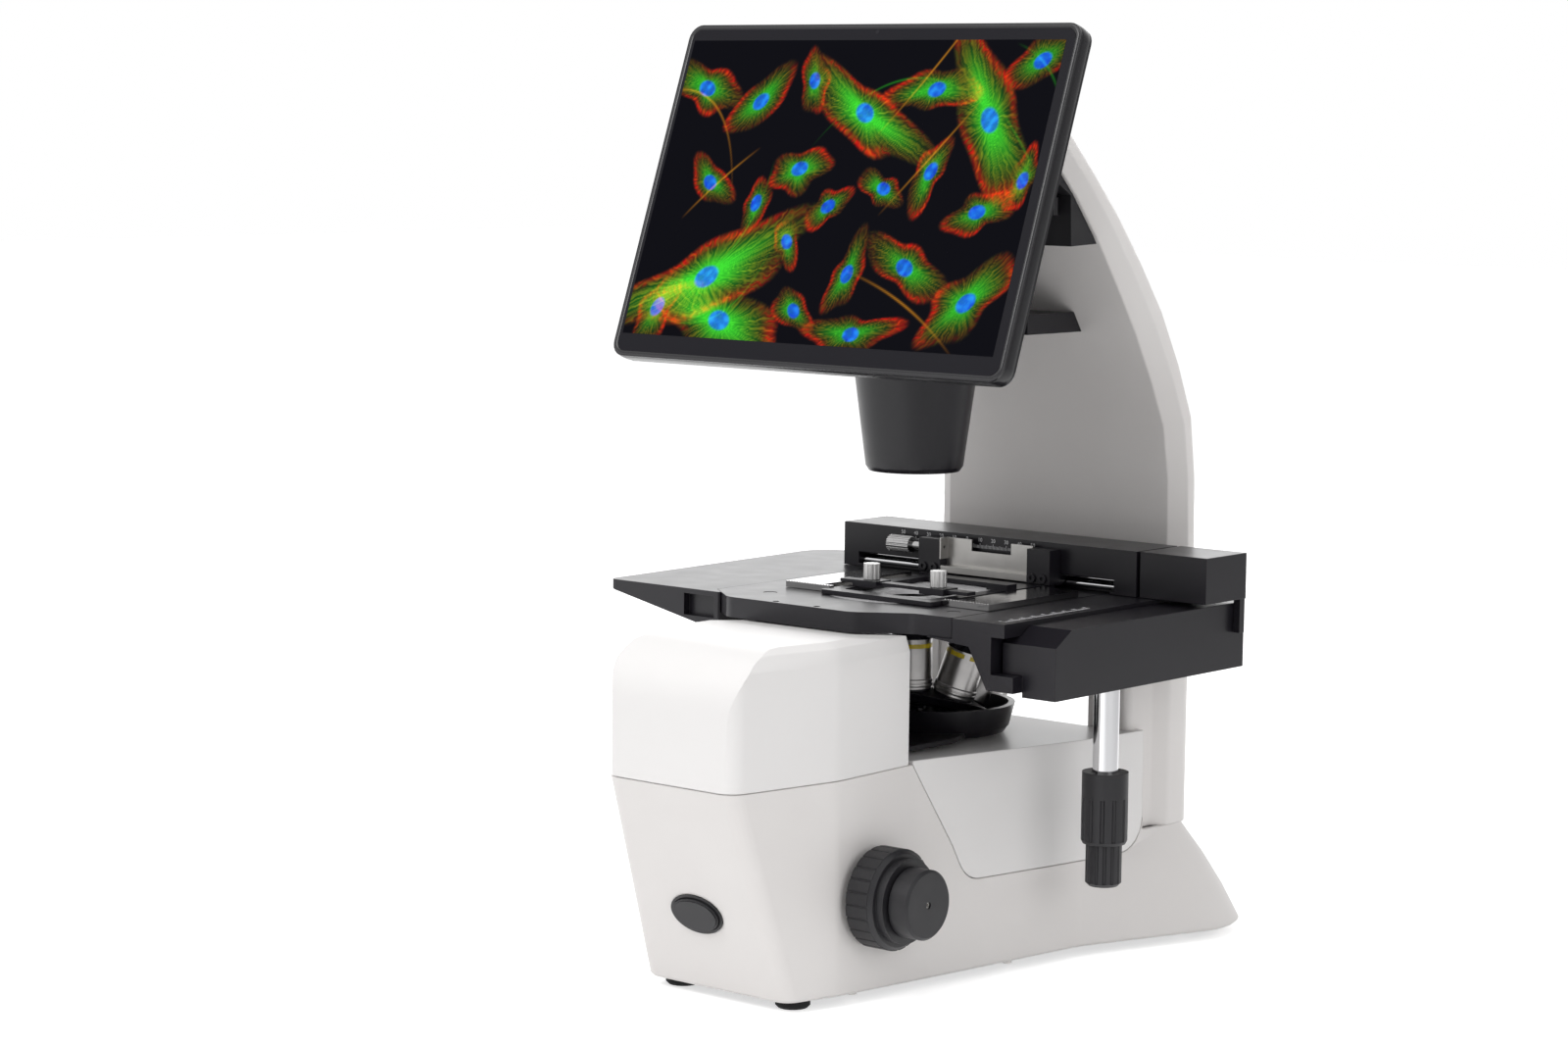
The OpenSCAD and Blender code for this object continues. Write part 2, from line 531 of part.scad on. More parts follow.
// Holder under the carriage: two bright plates joined by a black frame
jaw_z = stage_z + run;
frame_t = 2.6;
jaw_y0 = -35;
holder_x0 = -70;
holder_x1 = 84;
bar_z = jaw_z + frame_t + 0.3;
module specimen_plates() color(steel) for (x = [holder_x0, holder_x1 - jaw_w]) difference() {
  slab([[x, jaw_y0, 1.5, 3], [x + jaw_w, jaw_y0, 1.5, 3], [x + jaw_w, jaw_y0 + jaw_l, 1.5, 3],
    [x, jaw_y0 + jaw_l, 1.5, 3]], jaw_z, jaw_z + jaw_t);
  box(x < 0 ? x + jaw_w - 8 : x - 1, x < 0 ? x + jaw_w + 1 : x + 8, jaw_y0 + 4, jaw_y0 + jaw_l + 2, jaw_z + jaw_t / 2,
    jaw_z + 10);
}
module holder_frame() color("black") {
  z = jaw_z;
  x0 = holder_x0 + jaw_w + 0.1;
  x1 = holder_x1 - jaw_w - 0.1;
  difference() {
    slab([[x0, jaw_y0 - 9, 2, 3], [x1, jaw_y0 - 9, 2, 3], [x1, block_y - 1, 2, 3], [x0, block_y - 1, 2, 3]], z,
      z + frame_t);
    slab([[x0 + 9, jaw_y0 + 1, 4, 4], [x1 - 9, jaw_y0 + 1, 4, 4], [x1 - 9, block_y - 14, 4, 4],
      [x0 + 9, block_y - 14, 4, 4]], z - 1, z + 6);
  }
  box(left_x + 2, right_x + block_w - 2, block_y - 1.5, block_y + 8.6, z, z + frame_t);
  box(x1 - 12, x1 + 3, 24, 34, z + frame_t, z + frame_t + 4);
}
// Cross bar with two clamp knobs, which slides in the frame to fit the dish
bar_y = -14;
knob_x = [-20, 30.5];
module clamp_bar() color("black") {
  difference() {
    union() {
      box(holder_x0 + jaw_w - 6, holder_x1 - jaw_w + 6, bar_y - 4, bar_y + 4, bar_z + 1.4, bar_z + 3.4);
      for (x = knob_x) box(x - 9, x + 9, bar_y - 7, bar_y + 7, bar_z, bar_z + 4);
    }
    for (x = knob_x) translate([x, bar_y, bar_z - 1]) cylinder(d = 4 + 2 * fit, h = 8);
  }
}
module fluted(r, h, flutes, depth) difference() {
  cylinder(r = r, h = h);
  for (k = [0:flutes - 1]) rotate(k * 360 / flutes) translate([r + depth * 0.2, 0, -1])
    cylinder(r = depth, h = h + 2, $fn = 16);
}
module clamp_knob(x) color(steel) translate([x, bar_y, bar_z]) {
  translate([0, 0, 4.3]) fluted(5, 9.5, 10, 0.9);
  translate([0, 0, 0.3]) cylinder(d = 4, h = 4.1);
}
module clamp_knob_left() clamp_knob(knob_x[0]);
module clamp_knob_right() clamp_knob(knob_x[1]);

// Coaxial stage control hanging from the right housing
tube_x = 131;
tube_y = 17;
tube_low_z = 121;
knob_up_z = 81;
knob_low_z = 56;
control_d = 8;
module control_tube() color(steel) translate([tube_x, tube_y, 0]) difference() {
  translate([0, 0, tube_low_z]) cylinder(d = tube_d, h = slide_low_z + 11 - tube_low_z);
  translate([0, 0, tube_low_z - 1]) cylinder(d = control_d + 2 * fit, h = slide_low_z + 9 - tube_low_z);
}
module upper_control_knob() color("black") translate([tube_x, tube_y, 0]) difference() {
  union() {
    translate([0, 0, knob_up_z]) cylinder(d1 = knob_up_d - 2, d2 = knob_up_d, h = 2);
    translate([0, 0, knob_up_z + 2]) fluted(knob_up_d / 2, 25, 12, 1.3);
    translate([0, 0, knob_up_z + 27]) cylinder(d = knob_up_d, h = 15);
  }
  translate([0, 0, knob_up_z + 26]) cylinder(d = tube_d + 2 * run, h = 30);
  translate([0, 0, knob_up_z - 1]) cylinder(d = control_d + 2 * fit, h = 30);
}
module lower_control_knob() color("black") translate([tube_x, tube_y, 0]) {
  translate([0, 0, knob_low_z]) cylinder(d1 = knob_low_d - 4, d2 = knob_low_d, h = 2);
  translate([0, 0, knob_low_z + 2]) fluted(knob_low_d / 2, knob_up_z - run - knob_low_z - 2, 14, 1);
  translate([0, 0, knob_up_z - run - 1]) cylinder(d = control_d, h = slide_low_z + 5 - knob_up_z);
}

// Focus arm: comes out of the front cover over the deck and carries the nosepiece cup
cup_x = 3;
cup_y = 21.5;
arm_low_z = deck_z + 2.6;
cup_floor_z = arm_low_z + 2.8;
slide_y = -98;
rack_y = -focus_y + gear_module * pinion_teeth / 2;
module focus_arm() color("black") difference() {
  union() {
    slab([[-44, slide_y + 8, 4, 3], [44, slide_y + 8, 4, 3], [47, -18, 30, 6], [30, 30, 20, 6], [-30, 30, 20, 6],
      [-47, -18, 30, 6]], arm_low_z, cup_floor_z);
    translate([cup_x, cup_y, cup_floor_z - 3.4]) cylinder(r1 = cup_r - 6, r2 = cup_r - 3.5, h = 4);
    translate([cup_x, cup_y, cup_floor_z]) cylinder(r1 = cup_r - 3.5, r2 = cup_r, h = cup_z - cup_floor_z);
    box(-24, 24, slide_y, slide_y + 9, 44, cup_floor_z);
  }
  difference() {
    translate([cup_x, cup_y, cup_floor_z]) cylinder(r = cup_r - 4, h = 40);
    turret_place() translate([0, 0, -30]) cylinder(r = hub_r + 3.2, h = 19);
  }
  translate([0, 0, arm_low_z - 1]) cylinder(d = 16, h = 30);
  for (s = [-1, 1]) translate([s * 24, slide_y + 4.5, 40]) rotate(45) translate([-2.5, -2.5, 0]) cube([5, 5, 90]);
  turret_place() translate([0, 0, -19.5]) cylinder(r = hub_r + fit, h = 30);
}
// Rack and pinion
pitch = PI * gear_module;
backlash = 0.12;
function involute(rb, t) = rb * [cos(t) + t * PI / 180 * sin(t), sin(t) - t * PI / 180 * cos(t)];
function turned(p, a) = [p.x * cos(a) - p.y * sin(a), p.x * sin(a) + p.y * cos(a)];
module gear_profile() {
  r = gear_module * pinion_teeth / 2;
  rb = r * cos(20);
  ra = r + gear_module * 0.95;
  rf = r - gear_module * 1.25;
  t_pitch = sqrt(r * r / rb / rb - 1) * 180 / PI;
  t_tip = sqrt(ra * ra / rb / rb - 1) * 180 / PI;
  half = 90 / pinion_teeth - backlash / 2 / r * 180 / PI + (t_pitch - 20);
  polygon([for (k = [0:pinion_teeth - 1]) let (a = k * 360 / pinion_teeth) each concat(
    [turned([rf, 0], a - half - 1)], [for (j = [0:4]) turned(involute(rb, t_tip * j / 4), a - half)],
    [for (j = [4:-1:0]) let (p = involute(rb, t_tip * j / 4)) turned([p.x, -p.y], a + half)],
    [turned([rf, 0], a + half + 1)])]);
}
module focus_pinion() color("goldenrod") translate([-8, -focus_y, focus_z]) rotate([0, 90, 0])
  difference() {
    linear_extrude(16) rotate(90) gear_profile();
    translate([0, 0, -1]) cylinder(d = coarse_shaft_d - 2, h = 20);
  }
rack_n = 12;
rack_z0 = focus_z - rack_n * pitch / 2;
module focus_rack() color("goldenrod") side_slab(concat([[slide_y - 0.02, rack_z0], [slide_y - 0.02, rack_z0 + rack_n * pitch]],
  [for (k = [rack_n - 1:-1:0]) let (z = focus_z + (k - rack_n / 2 + 0.5) * pitch, w = pitch / 4 - backlash / 4,
      a = gear_module * 0.95 * tan(20), d = gear_module * 1.2 * tan(20))
    each [[rack_y + gear_module * 1.2, z + w + d], [rack_y - gear_module * 0.95, z + w - a],
      [rack_y - gear_module * 0.95, z - w + a], [rack_y + gear_module * 1.2, z - w - d]]]), -8, 8);
// Fixed dovetail guide that the slide runs in
module slide_guide() color("slategray") difference() {
  box(-32, 32, slide_y + 9.4, slide_y + 16, foot_lift + 2.2, seam_z - 10);
  box(-12, 12, slide_y + 9, slide_y + 17, 60, 100);
}

// Coaxial focus controls
coarse_x0 = 66.5;
coarse_x1 = 89;
fine_x1 = 103;
module coarse_shaft() color(steel) difference() {
  union() {
    x_rod(coarse_shaft_d, 8, coarse_x1 - 4, -focus_y, focus_z);
    x_rod(coarse_shaft_d - 2 - 0.04, -8, 8, -focus_y, focus_z);
    x_rod(coarse_shaft_d, -coarse_x1 + 4, -8, -focus_y, focus_z);
  }
  x_rod(fine_shaft_d + 2 * fit, -100, 100, -focus_y, focus_z);
}
module coarse_knob(s) color("black") translate([0, -focus_y, focus_z]) rotate([0, s * 90, 0])
  difference() {
    union() {
      translate([0, 0, coarse_x0]) fluted(coarse_d / 2, 15, 24, 0.7);
      translate([0, 0, coarse_x0 + 15]) cylinder(d1 = coarse_d - 1, d2 = coarse_d - 5, h = 2.5);
      translate([0, 0, coarse_x0 + 17.5]) cylinder(d = coarse_d - 10, h = coarse_x1 - coarse_x0 - 17.5);
    }
    translate([0, 0, coarse_x0 - 1]) cylinder(d = coarse_shaft_d + 0.04, h = coarse_x1 - coarse_x0 - 3);
    translate([0, 0, coarse_x0]) cylinder(d = fine_shaft_d + 1, h = 40);
    translate([0, 0, coarse_x1 - 3]) cylinder(d = fine_d - 4, h = 40);
  }
module coarse_knob_right() coarse_knob(1);
module coarse_knob_left() coarse_knob(-1);
module fine_shaft() color(steel) x_rod(fine_shaft_d, -fine_x1 + 4, fine_x1 - 4, -focus_y, focus_z);
module fine_knob(s) color("black") translate([0, -focus_y, focus_z]) rotate([0, s * 90, 0]) difference() {
  union() {
    translate([0, 0, coarse_x1 - 3 + run]) cylinder(d = fine_d - 5, h = 4);
    translate([0, 0, coarse_x1 + 1]) cylinder(d = fine_d, h = fine_x1 - coarse_x1 - 2.5);
    translate([0, 0, fine_x1 - 1.5]) cylinder(d1 = fine_d, d2 = fine_d - 3, h = 1.5);
  }
  translate([0, 0, coarse_x1 - 10]) cylinder(d = fine_shaft_d + 0.04, h = fine_x1 - coarse_x1 + 6);
  translate([0, 0, fine_x1 - 5]) cylinder(d = 4, h = 10);
}
module fine_knob_right() fine_knob(1);
module fine_knob_left() fine_knob(-1);

// Tilted turret: the axis leans back so that the front position stands upright
hub_r = 4.5;
seat_z = 160;
module turret_place() translate([0, turret_r * cos(turret_tilt), seat_z - turret_r * sin(turret_tilt)])
  rotate([-turret_tilt, 0, 0]) children();
module at_position(k) turret_place() rotate(k * 360 / positions) translate([0, -turret_r, 0])
  rotate([turret_tilt, 0, 0]) children();
module turret() color("black") difference() {
  union() {
    turret_place() {
      translate([0, 0, -9]) cylinder(r1 = 31, r2 = 35, h = 4);
      translate([0, 0, -5]) cylinder(r1 = 35, r2 = 20, h = 6);
      translate([0, 0, -19]) cylinder(r = hub_r, h = 12);
    }
    for (k = [0:positions - 1]) at_position(k) translate([0, 0, -6]) cylinder(r = 12.2, h = 6);
  }
  for (k = [0:positions - 1]) at_position(k) translate([0, 0, -12]) cylinder(r = thread_r, h = 40);
}
module barrel(k, h, tip_r) at_position(k) difference() {
  union() {
    translate([0, 0, -4.5]) cylinder(r = thread_r - 0.02, h = 4.6);
    translate([0, 0, 0.05]) cylinder(r = barrel_r, h = h * 0.62);
    translate([0, 0, 0.05 + h * 0.62]) cylinder(r1 = barrel_r, r2 = tip_r + 3, h = h * 0.2);
    translate([0, 0, 0.05 + h * 0.82]) cylinder(r1 = tip_r + 2, r2 = tip_r, h = h * 0.18);
  }
  translate([0, 0, -6]) cylinder(r = tip_r * 0.6, h = h + 20);
}
module objective_main() color(steel) barrel(0, 48, 5.5);
module objective_second() color(steel) barrel(1, 45, 6.5);
module objective_short() color(steel) barrel(2, 24, 8);
module turret_plug() color("black") at_position(4) {
  translate([0, 0, -4.5]) cylinder(r = thread_r - 0.02, h = 4.6);
  translate([0, 0, 0.05]) fluted(11.5, 5, 18, 0.6);
}

// Light path and electronics inside the base
mirror_z = 84;
module lower_mirror() color("lightsteelblue") difference() {
  union() {
    translate([0, 2, mirror_z]) rotate([45, 0, 0]) translate([-17, -22, -4]) cube([34, 44, 4]);
    box(-20, 20, -6, 24, plate_z + 0.02, mirror_z + 4);
  }
  translate([0, 2, mirror_z]) rotate([45, 0, 0]) translate([-60, -60, 0]) cube([120, 120, 60]);
}
module tube_lens() color("lightsteelblue") {
  y_rod(30, -46, -40, 0, mirror_z);
  difference() {
    y_rod(36, -48, -34, 0, mirror_z);
    y_rod(30.04, -49, -30, 0, mirror_z);
  }
  box(-14, 14, -46, -38, plate_z + 0.2, mirror_z - 17.5);
}
module camera_unit() color("dimgray") {
  box(-22, 22, -80, -56, mirror_z - 20, mirror_z + 20);
  y_rod(25.4, -56, -50, 0, mirror_z);
  box(-14, 14, -76, -60, plate_z + 0.2, mirror_z - 20);
}
module power_board() color("seagreen") {
  box(-50, 50, 90, 150, plate_z + 8, plate_z + 9.6);
  box(-40, -10, 100, 140, plate_z + 9.6, plate_z + 30);
  box(15, 35, 100, 125, plate_z + 9.6, plate_z + 28);
  for (x = [-45, 45], y = [95, 145]) translate([x, y, plate_z]) cylinder(d = 6, h = 8);
}

// Lamp and condenser
bracket_z0 = 370;
bracket_z1 = 382;
function inner_y(z) = let (n = [for (k = [0:len(stations) - 2]) if (stations[k][0].y <= z &&
  stations[k + 1][0].y > z) mix(stations[k][0].x, stations[k + 1][0].x, (z - stations[k][0].y) /
  (stations[k + 1][0].y - stations[k][0].y))]) n[0];
module condenser_bracket() color("black") difference() {
  union() {
    side_slab([[52, bracket_z0], [inner_y(bracket_z0) - 0.1, bracket_z0], [inner_y(bracket_z1) - 0.1, bracket_z1],
      [52, bracket_z1]], -43, 43);
    box(-24, 24, 0, 53, bracket_z0, bracket_z1);
    translate([0, 0, bracket_z0]) cylinder(r = condenser_top_r + 4, h = bracket_z1 - bracket_z0);
  }
  translate([0, 0, bracket_z0 - 1]) cylinder(r = condenser_top_r - 5, h = 30);
}
module condenser_housing() color("black") difference() {
  union() {
    translate([0, 0, condenser_z + 3]) cylinder(r1 = condenser_low_r + 0.5, r2 = condenser_top_r, h = condenser_h - 3);
    translate([0, 0, condenser_z]) cylinder(r1 = condenser_low_r - 1.5, r2 = condenser_low_r + 0.5, h = 3);
    translate([0, 0, bracket_z0 - 0.2]) cylinder(r = condenser_top_r - 5.05, h = bracket_z1 - bracket_z0 + 6);
    translate([0, 0, bracket_z1 + 0.1]) cylinder(r = condenser_top_r + 2, h = 6);
    translate([0, 0, condenser_z + condenser_h - 0.1]) cylinder(r = condenser_top_r - 5.05, h = 4);
  }
  translate([0, 0, condenser_z - 1]) cylinder(r1 = 20, r2 = 24, h = condenser_h + 30);
}
module condenser_lens() color("lightsteelblue") intersection() {
  translate([0, 0, condenser_z + 6]) cylinder(r = 20.2, h = 12);
  translate([0, 0, condenser_z + 40]) sphere(r = 34.5);
}
lamp_low_z = 425;
function under_arm(k) = stations[k][0] - [run, run];
lamp_front = [[inner_y(lamp_low_z) - 0.6, lamp_low_z], [42, lamp_low_z - 1], [40.6, 454], [15, 468], [-22, 484],
  [-26, 493]];
module lamp_cover() color("black") difference() {
  union() {
    side_slab(concat(lamp_front, [for (k = [11:-1:7]) under_arm(k)]), -arm_half + 3, arm_half - 3);
    intersection() {
      translate([0, 0, 434]) cylinder(r = 30, h = 80);
      side_slab(concat([[-40, 400], [60, 400]], [for (k = [8:11]) under_arm(k)], [[-26, 493], [-40, 480]]), -60, 60);
    }
  }
  translate([0, 0, 430]) cylinder(r = 26, h = 38);
}
module lamp_unit() color("slategray") difference() {
  translate([0, 0, 438]) cylinder(r = 25.7, h = 29.7);
  translate([0, 0, 430]) cylinder(r = 20, h = 20);
}
module lamp_clamp() color("black") {
  translate([arm_half - 14, 35.3, 442]) fluted(5, 10.5, 10, 0.7);
}
// Screen on its hinge
screen_low = [-108.9, 355.7];
module screen_place() translate([0, screen_low.x, screen_low.y]) rotate([-screen_tilt, 0, 0]) children();
module screen_housing() color("black") screen_place() difference() {
  rotate([90, 0, 0]) translate([0, 0, -screen_t]) linear_extrude(screen_t - 0.2) polygon(rounded([
    [-screen_w / 2, 0, 9, 6], [screen_w / 2, 0, 9, 6], [screen_w / 2, screen_h, 9, 6],
    [-screen_w / 2, screen_h, 9, 6]]));
  rotate([90, 0, 0]) translate([0, 0, -1.2]) linear_extrude(3) polygon(rounded([
    [-screen_w / 2 + 3, 3, 7, 6], [screen_w / 2 - 3, 3, 7, 6], [screen_w / 2 - 3, screen_h - 3, 7, 6],
    [-screen_w / 2 + 3, screen_h - 3, 7, 6]]));
}
module screen_glass() color("midnightblue") screen_place() rotate([90, 0, 0]) translate([0, 0, -1.2])
  linear_extrude(1.2) polygon(rounded([[-screen_w / 2 + 3.1, 3.1, 7, 6], [screen_w / 2 - 3.1, 3.1, 7, 6],
    [screen_w / 2 - 3.1, screen_h - 3.1, 7, 6], [-screen_w / 2 + 3.1, screen_h - 3.1, 7, 6]]));
// The screen hangs on a hinge between the head of the arm and its back
hinge_v = 148;
hinge_y = screen_t + 10;
hinge_r = 6.5;
pin_r = 3;
hinge_seat = 23.9;
module screen_mount() color("black") screen_place() difference() {
  union() {
    translate([-50, screen_t, hinge_v - 42]) cube([100, 3, 46]);
    hull() {
      translate([-14.5, screen_t + 1, hinge_v - 10]) cube([29, 1, 14]);
      translate([-14.5, hinge_y, hinge_v]) rotate([0, 90, 0]) cylinder(r = hinge_r, h = 29);
    }
  }
  translate([-20, hinge_y, hinge_v]) rotate([0, 90, 0]) cylinder(r = pin_r + fit, h = 40);
}
module screen_hinge() color("black") screen_place() {
  for (x = [-25, 15]) hull() {
    translate([x, hinge_y, hinge_v]) rotate([0, 90, 0]) cylinder(r = hinge_r, h = 10);
    translate([x, hinge_seat - 4, hinge_v + 14]) cube([10, 2.8, 18]);
  }
  translate([-24, hinge_y, hinge_v]) rotate([0, 90, 0]) cylinder(r = pin_r, h = 48);
  translate([-32, hinge_seat - 3, hinge_v + 13]) cube([64, 3, 26]);
}

base_housing();
bottom_plate();
rubber_feet();
base_screws();
power_bezel();
power_button();
power_inlet();
deck_housing();
front_cover();
arm_shell();
stage_plate();
left_wing();
stage_insert();
slide_housing();
stage_screws();
cross_housing();
guide_rods();
carriage_plate();
carriage_blocks();
block_screws();
lock_screw();
holder_frame();
specimen_plates();
clamp_bar();
clamp_knob_left();
clamp_knob_right();
control_tube();
upper_control_knob();
lower_control_knob();
focus_arm();
focus_rack();
slide_guide();
coarse_shaft();
focus_pinion();
coarse_knob_right();
coarse_knob_left();
fine_shaft();
fine_knob_right();
fine_knob_left();
turret();
objective_main();
objective_second();
objective_short();
turret_plug();
lower_mirror();
tube_lens();
camera_unit();
power_board();
condenser_bracket();
condenser_housing();
condenser_lens();
lamp_cover();
lamp_unit();
lamp_clamp();
screen_hinge();
screen_mount();
screen_housing();
screen_glass();
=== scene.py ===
import math
import bmesh
import bpy
import numpy as np
from mathutils import Matrix, Vector


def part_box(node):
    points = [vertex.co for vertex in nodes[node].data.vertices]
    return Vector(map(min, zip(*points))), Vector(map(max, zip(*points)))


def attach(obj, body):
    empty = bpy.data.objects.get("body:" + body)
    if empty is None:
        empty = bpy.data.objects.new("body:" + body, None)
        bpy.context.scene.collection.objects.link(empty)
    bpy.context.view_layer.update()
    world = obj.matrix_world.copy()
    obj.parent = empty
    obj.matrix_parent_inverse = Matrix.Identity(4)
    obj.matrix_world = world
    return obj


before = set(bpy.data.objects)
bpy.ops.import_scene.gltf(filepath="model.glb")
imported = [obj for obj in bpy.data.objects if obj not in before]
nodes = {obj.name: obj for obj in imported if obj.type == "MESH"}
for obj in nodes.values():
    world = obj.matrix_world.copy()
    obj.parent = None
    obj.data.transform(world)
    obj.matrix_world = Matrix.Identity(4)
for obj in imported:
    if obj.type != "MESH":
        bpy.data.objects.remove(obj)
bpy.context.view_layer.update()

MM = 0.001


# ---- The painted stand: base and arched arm ----
# Cast and welded metal with a white powder coat, baked to a fine satin orange peel.
# The base stands on the bench and the arm is bolted down on its rear skirt.
def shade(hex_colour):
    """An sRGB hex colour as the linear values that a shader takes."""
    parts = [int(hex_colour[i:i + 2], 16) / 255 for i in (1, 3, 5)]
    return tuple(c / 12.92 if c <= 0.04045 else ((c + 0.055) / 1.055) ** 2.4 for c in parts) + (1.0,)


def add(tree, kind, settings=None, links=None):
    """Adds a node, sets its properties and inputs, and links what feeds it."""
    node = tree.nodes.new(kind)
    for key, value in (settings or {}).items():
        if isinstance(key, str) and key not in node.inputs:
            setattr(node, key, value)
        else:
            node.inputs[key].default_value = value
    for key, source in (links or {}).items():
        tree.links.new(source, node.inputs[key])
    return node


def surface(name, colour, roughness, metallic=0.0):
    """A material of one plain shader; returns it with its tree, its shader and the place on the piece."""
    material = bpy.data.materials.new(name)
    material.use_nodes = True
    tree = material.node_tree
    tree.nodes.clear()
    shader = add(tree, "ShaderNodeBsdfPrincipled",
                 {"Base Color": shade(colour), "Roughness": roughness, "Metallic": metallic})
    add(tree, "ShaderNodeOutputMaterial", links={"Surface": shader.outputs[0]})
    place = add(tree, "ShaderNodeTexCoord").outputs["Object"]
    return material, tree, shader, place


def grained(tree, shader, place, size_mm, height_mm, strength, stretch=(1, 1, 1), edge_mm=0.5):
    """Relief of a real grain size, stretched where a brush has run, over edges broken to a small radius."""
    run = add(tree, "ShaderNodeMapping", {"Scale": stretch}, {"Vector": place}).outputs[0]
    grain = add(tree, "ShaderNodeTexNoise", {"Scale": 1000 / size_mm, "Detail": 3}, {"Vector": run})
    edge = add(tree, "ShaderNodeBevel", {"samples": 4, "Radius": edge_mm * MM})
    relief = add(tree, "ShaderNodeBump", {"Strength": strength, "Distance": height_mm * MM},
                 {"Height": grain.outputs[0], "Normal": edge.outputs[0]})
    tree.links.new(relief.outputs[0], shader.inputs["Normal"])


def mottled(tree, shader, place, dark, light, patch_mm):
    """The slight change of tone that a large sprayed or moulded surface has."""
    patch = add(tree, "ShaderNodeTexNoise", {"Scale": 1000 / patch_mm, "Detail": 2}, {"Vector": place})
    tone = add(tree, "ShaderNodeMix", {"data_type": "RGBA", 6: shade(dark), 7: shade(light)},
               {0: patch.outputs[0]})
    tree.links.new(tone.outputs[2], shader.inputs["Base Color"])


def worn(tree, shader, place, low, high, patch_mm):
    """Roughness that wanders a little, from handling and wiping."""
    patch = add(tree, "ShaderNodeTexNoise", {"Scale": 1000 / patch_mm, "Detail": 4}, {"Vector": place})
    span = add(tree, "ShaderNodeMapRange", {"To Min": low, "To Max": high}, {"Value": patch.outputs[0]})
    tree.links.new(span.outputs[0], shader.inputs["Roughness"])


def eased(mesh, below=28):
    """Shades a CAD mesh smoothly across edges flatter than a limit; its corners stay where they are."""
    count = len(mesh.polygons)
    normals = np.empty(count * 3)
    mesh.polygons.foreach_get("normal", normals)
    normals = normals.reshape(-1, 3)
    areas = np.empty(count)
    mesh.polygons.foreach_get("area", areas)
    places = np.empty(len(mesh.vertices) * 3)
    mesh.vertices.foreach_get("co", places)
    _, same = np.unique(np.round(places.reshape(-1, 3), 6), axis=0, return_inverse=True)
    corners = np.empty(len(mesh.loops), int)
    mesh.loops.foreach_get("vertex_index", corners)
    point = same.ravel()[corners]
    face = np.repeat(np.arange(count), 3)
    order = np.argsort(point, kind="stable")
    starts = np.flatnonzero(np.r_[True, np.diff(point[order]) > 0, True])
    result = np.empty((len(corners), 3))
    limit = math.cos(math.radians(below))
    for a, b in zip(starts[:-1], starts[1:]):
        here = order[a:b]
        own = normals[face[here]]
        near = (own @ own.T > limit) * areas[face[here]]
        blended = near @ own
        result[here] = blended / np.maximum(np.linalg.norm(blended, axis=1, keepdims=True), 1e-12)
    mesh.polygons.foreach_set("use_smooth", [True] * count)
    mesh.normals_split_custom_set(result.tolist())


def finish(material, *names):
    """Gives CAD solids their material and eases their shading."""
    for name in names:
        mesh = nodes[name].data
        mesh.materials.clear()
        mesh.materials.append(material)
        eased(mesh)


# Powder coat: opaque white polyester, satin, with a peel about 1.5 mm across.
powder_coat, tree, shader, place = surface("white_powder_coat", "#ECE8E6", 0.42)
mottled(tree, shader, place, "#E9E5E3", "#EFECEA", 60)
worn(tree, shader, place, 0.38, 0.47, 25)
grained(tree, shader, place, 1.5, 0.03, 0.35, edge_mm=1.2)
finish(powder_coat, "base_housing", "arm_shell")

# ---- The moulded covers: front cover and deck ----
# Injection moulded ABS, a shade whiter and smoother than the paint.
# Both drop onto the base with a hairline seam all round.
moulded_white, tree, shader, place = surface("white_moulded_abs", "#F2F0EF", 0.36)
mottled(tree, shader, place, "#F0EEED", "#F4F2F1", 80)
worn(tree, shader, place, 0.32, 0.41, 30)
grained(tree, shader, place, 0.9, 0.02, 0.22, edge_mm=1.0)
finish(moulded_white, "front_cover", "deck_housing")

# ---- The feet ----
# Pressed rubber pads under the four corners, dull and slightly dusty.
# Each is bonded to the bottom plate.
foot_rubber, tree, shader, place = surface("black_pressed_rubber", "#151516", 0.85)
mottled(tree, shader, place, "#131314", "#1B1B1C", 6)
grained(tree, shader, place, 0.8, 0.05, 0.4)
finish(foot_rubber, "rubber_feet")

# ---- The black metalwork: stage, slides, nosepiece, condenser ----
# Aluminium plate and turned parts, bead blasted and anodised black, screwed together.
# Blasting leaves a fine even sparkle, and grazing light turns it grey.
black_anodised, tree, shader, place = surface("black_anodised_aluminium", "#16141A", 0.32)
shader.inputs["Specular IOR Level"].default_value = 0.4
mottled(tree, shader, place, "#131117", "#1A181E", 40)
worn(tree, shader, place, 0.28, 0.37, 18)
grained(tree, shader, place, 0.8, 0.02, 0.3)
finish(black_anodised, "stage_plate", "left_wing", "slide_housing", "cross_housing", "carriage_blocks",
       "holder_frame", "clamp_bar", "focus_arm", "turret", "condenser_bracket", "condenser_housing",
       "slide_guide", "camera_unit", "screen_hinge", "screen_mount", "bottom_plate", "block_screws",
       "stage_screws")

# ---- The black mouldings: knobs, lamp cover, switch ----
# Glass-filled nylon with a spark-eroded grain, soft to the hand and a little grey on its edges.
# The knobs are pressed on their shafts and the lamp cover is screwed to the arm.
black_moulded, tree, shader, place = surface("black_grained_nylon", "#17161A", 0.5)
mottled(tree, shader, place, "#151418", "#1B1A1E", 15)
worn(tree, shader, place, 0.42, 0.55, 12)
grained(tree, shader, place, 0.7, 0.03, 0.35)
finish(black_moulded, "lamp_cover", "lamp_clamp", "power_bezel", "power_button", "power_inlet", "turret_plug",
       "coarse_knob_left", "coarse_knob_right", "fine_knob_left", "fine_knob_right", "upper_control_knob",
       "lower_control_knob")

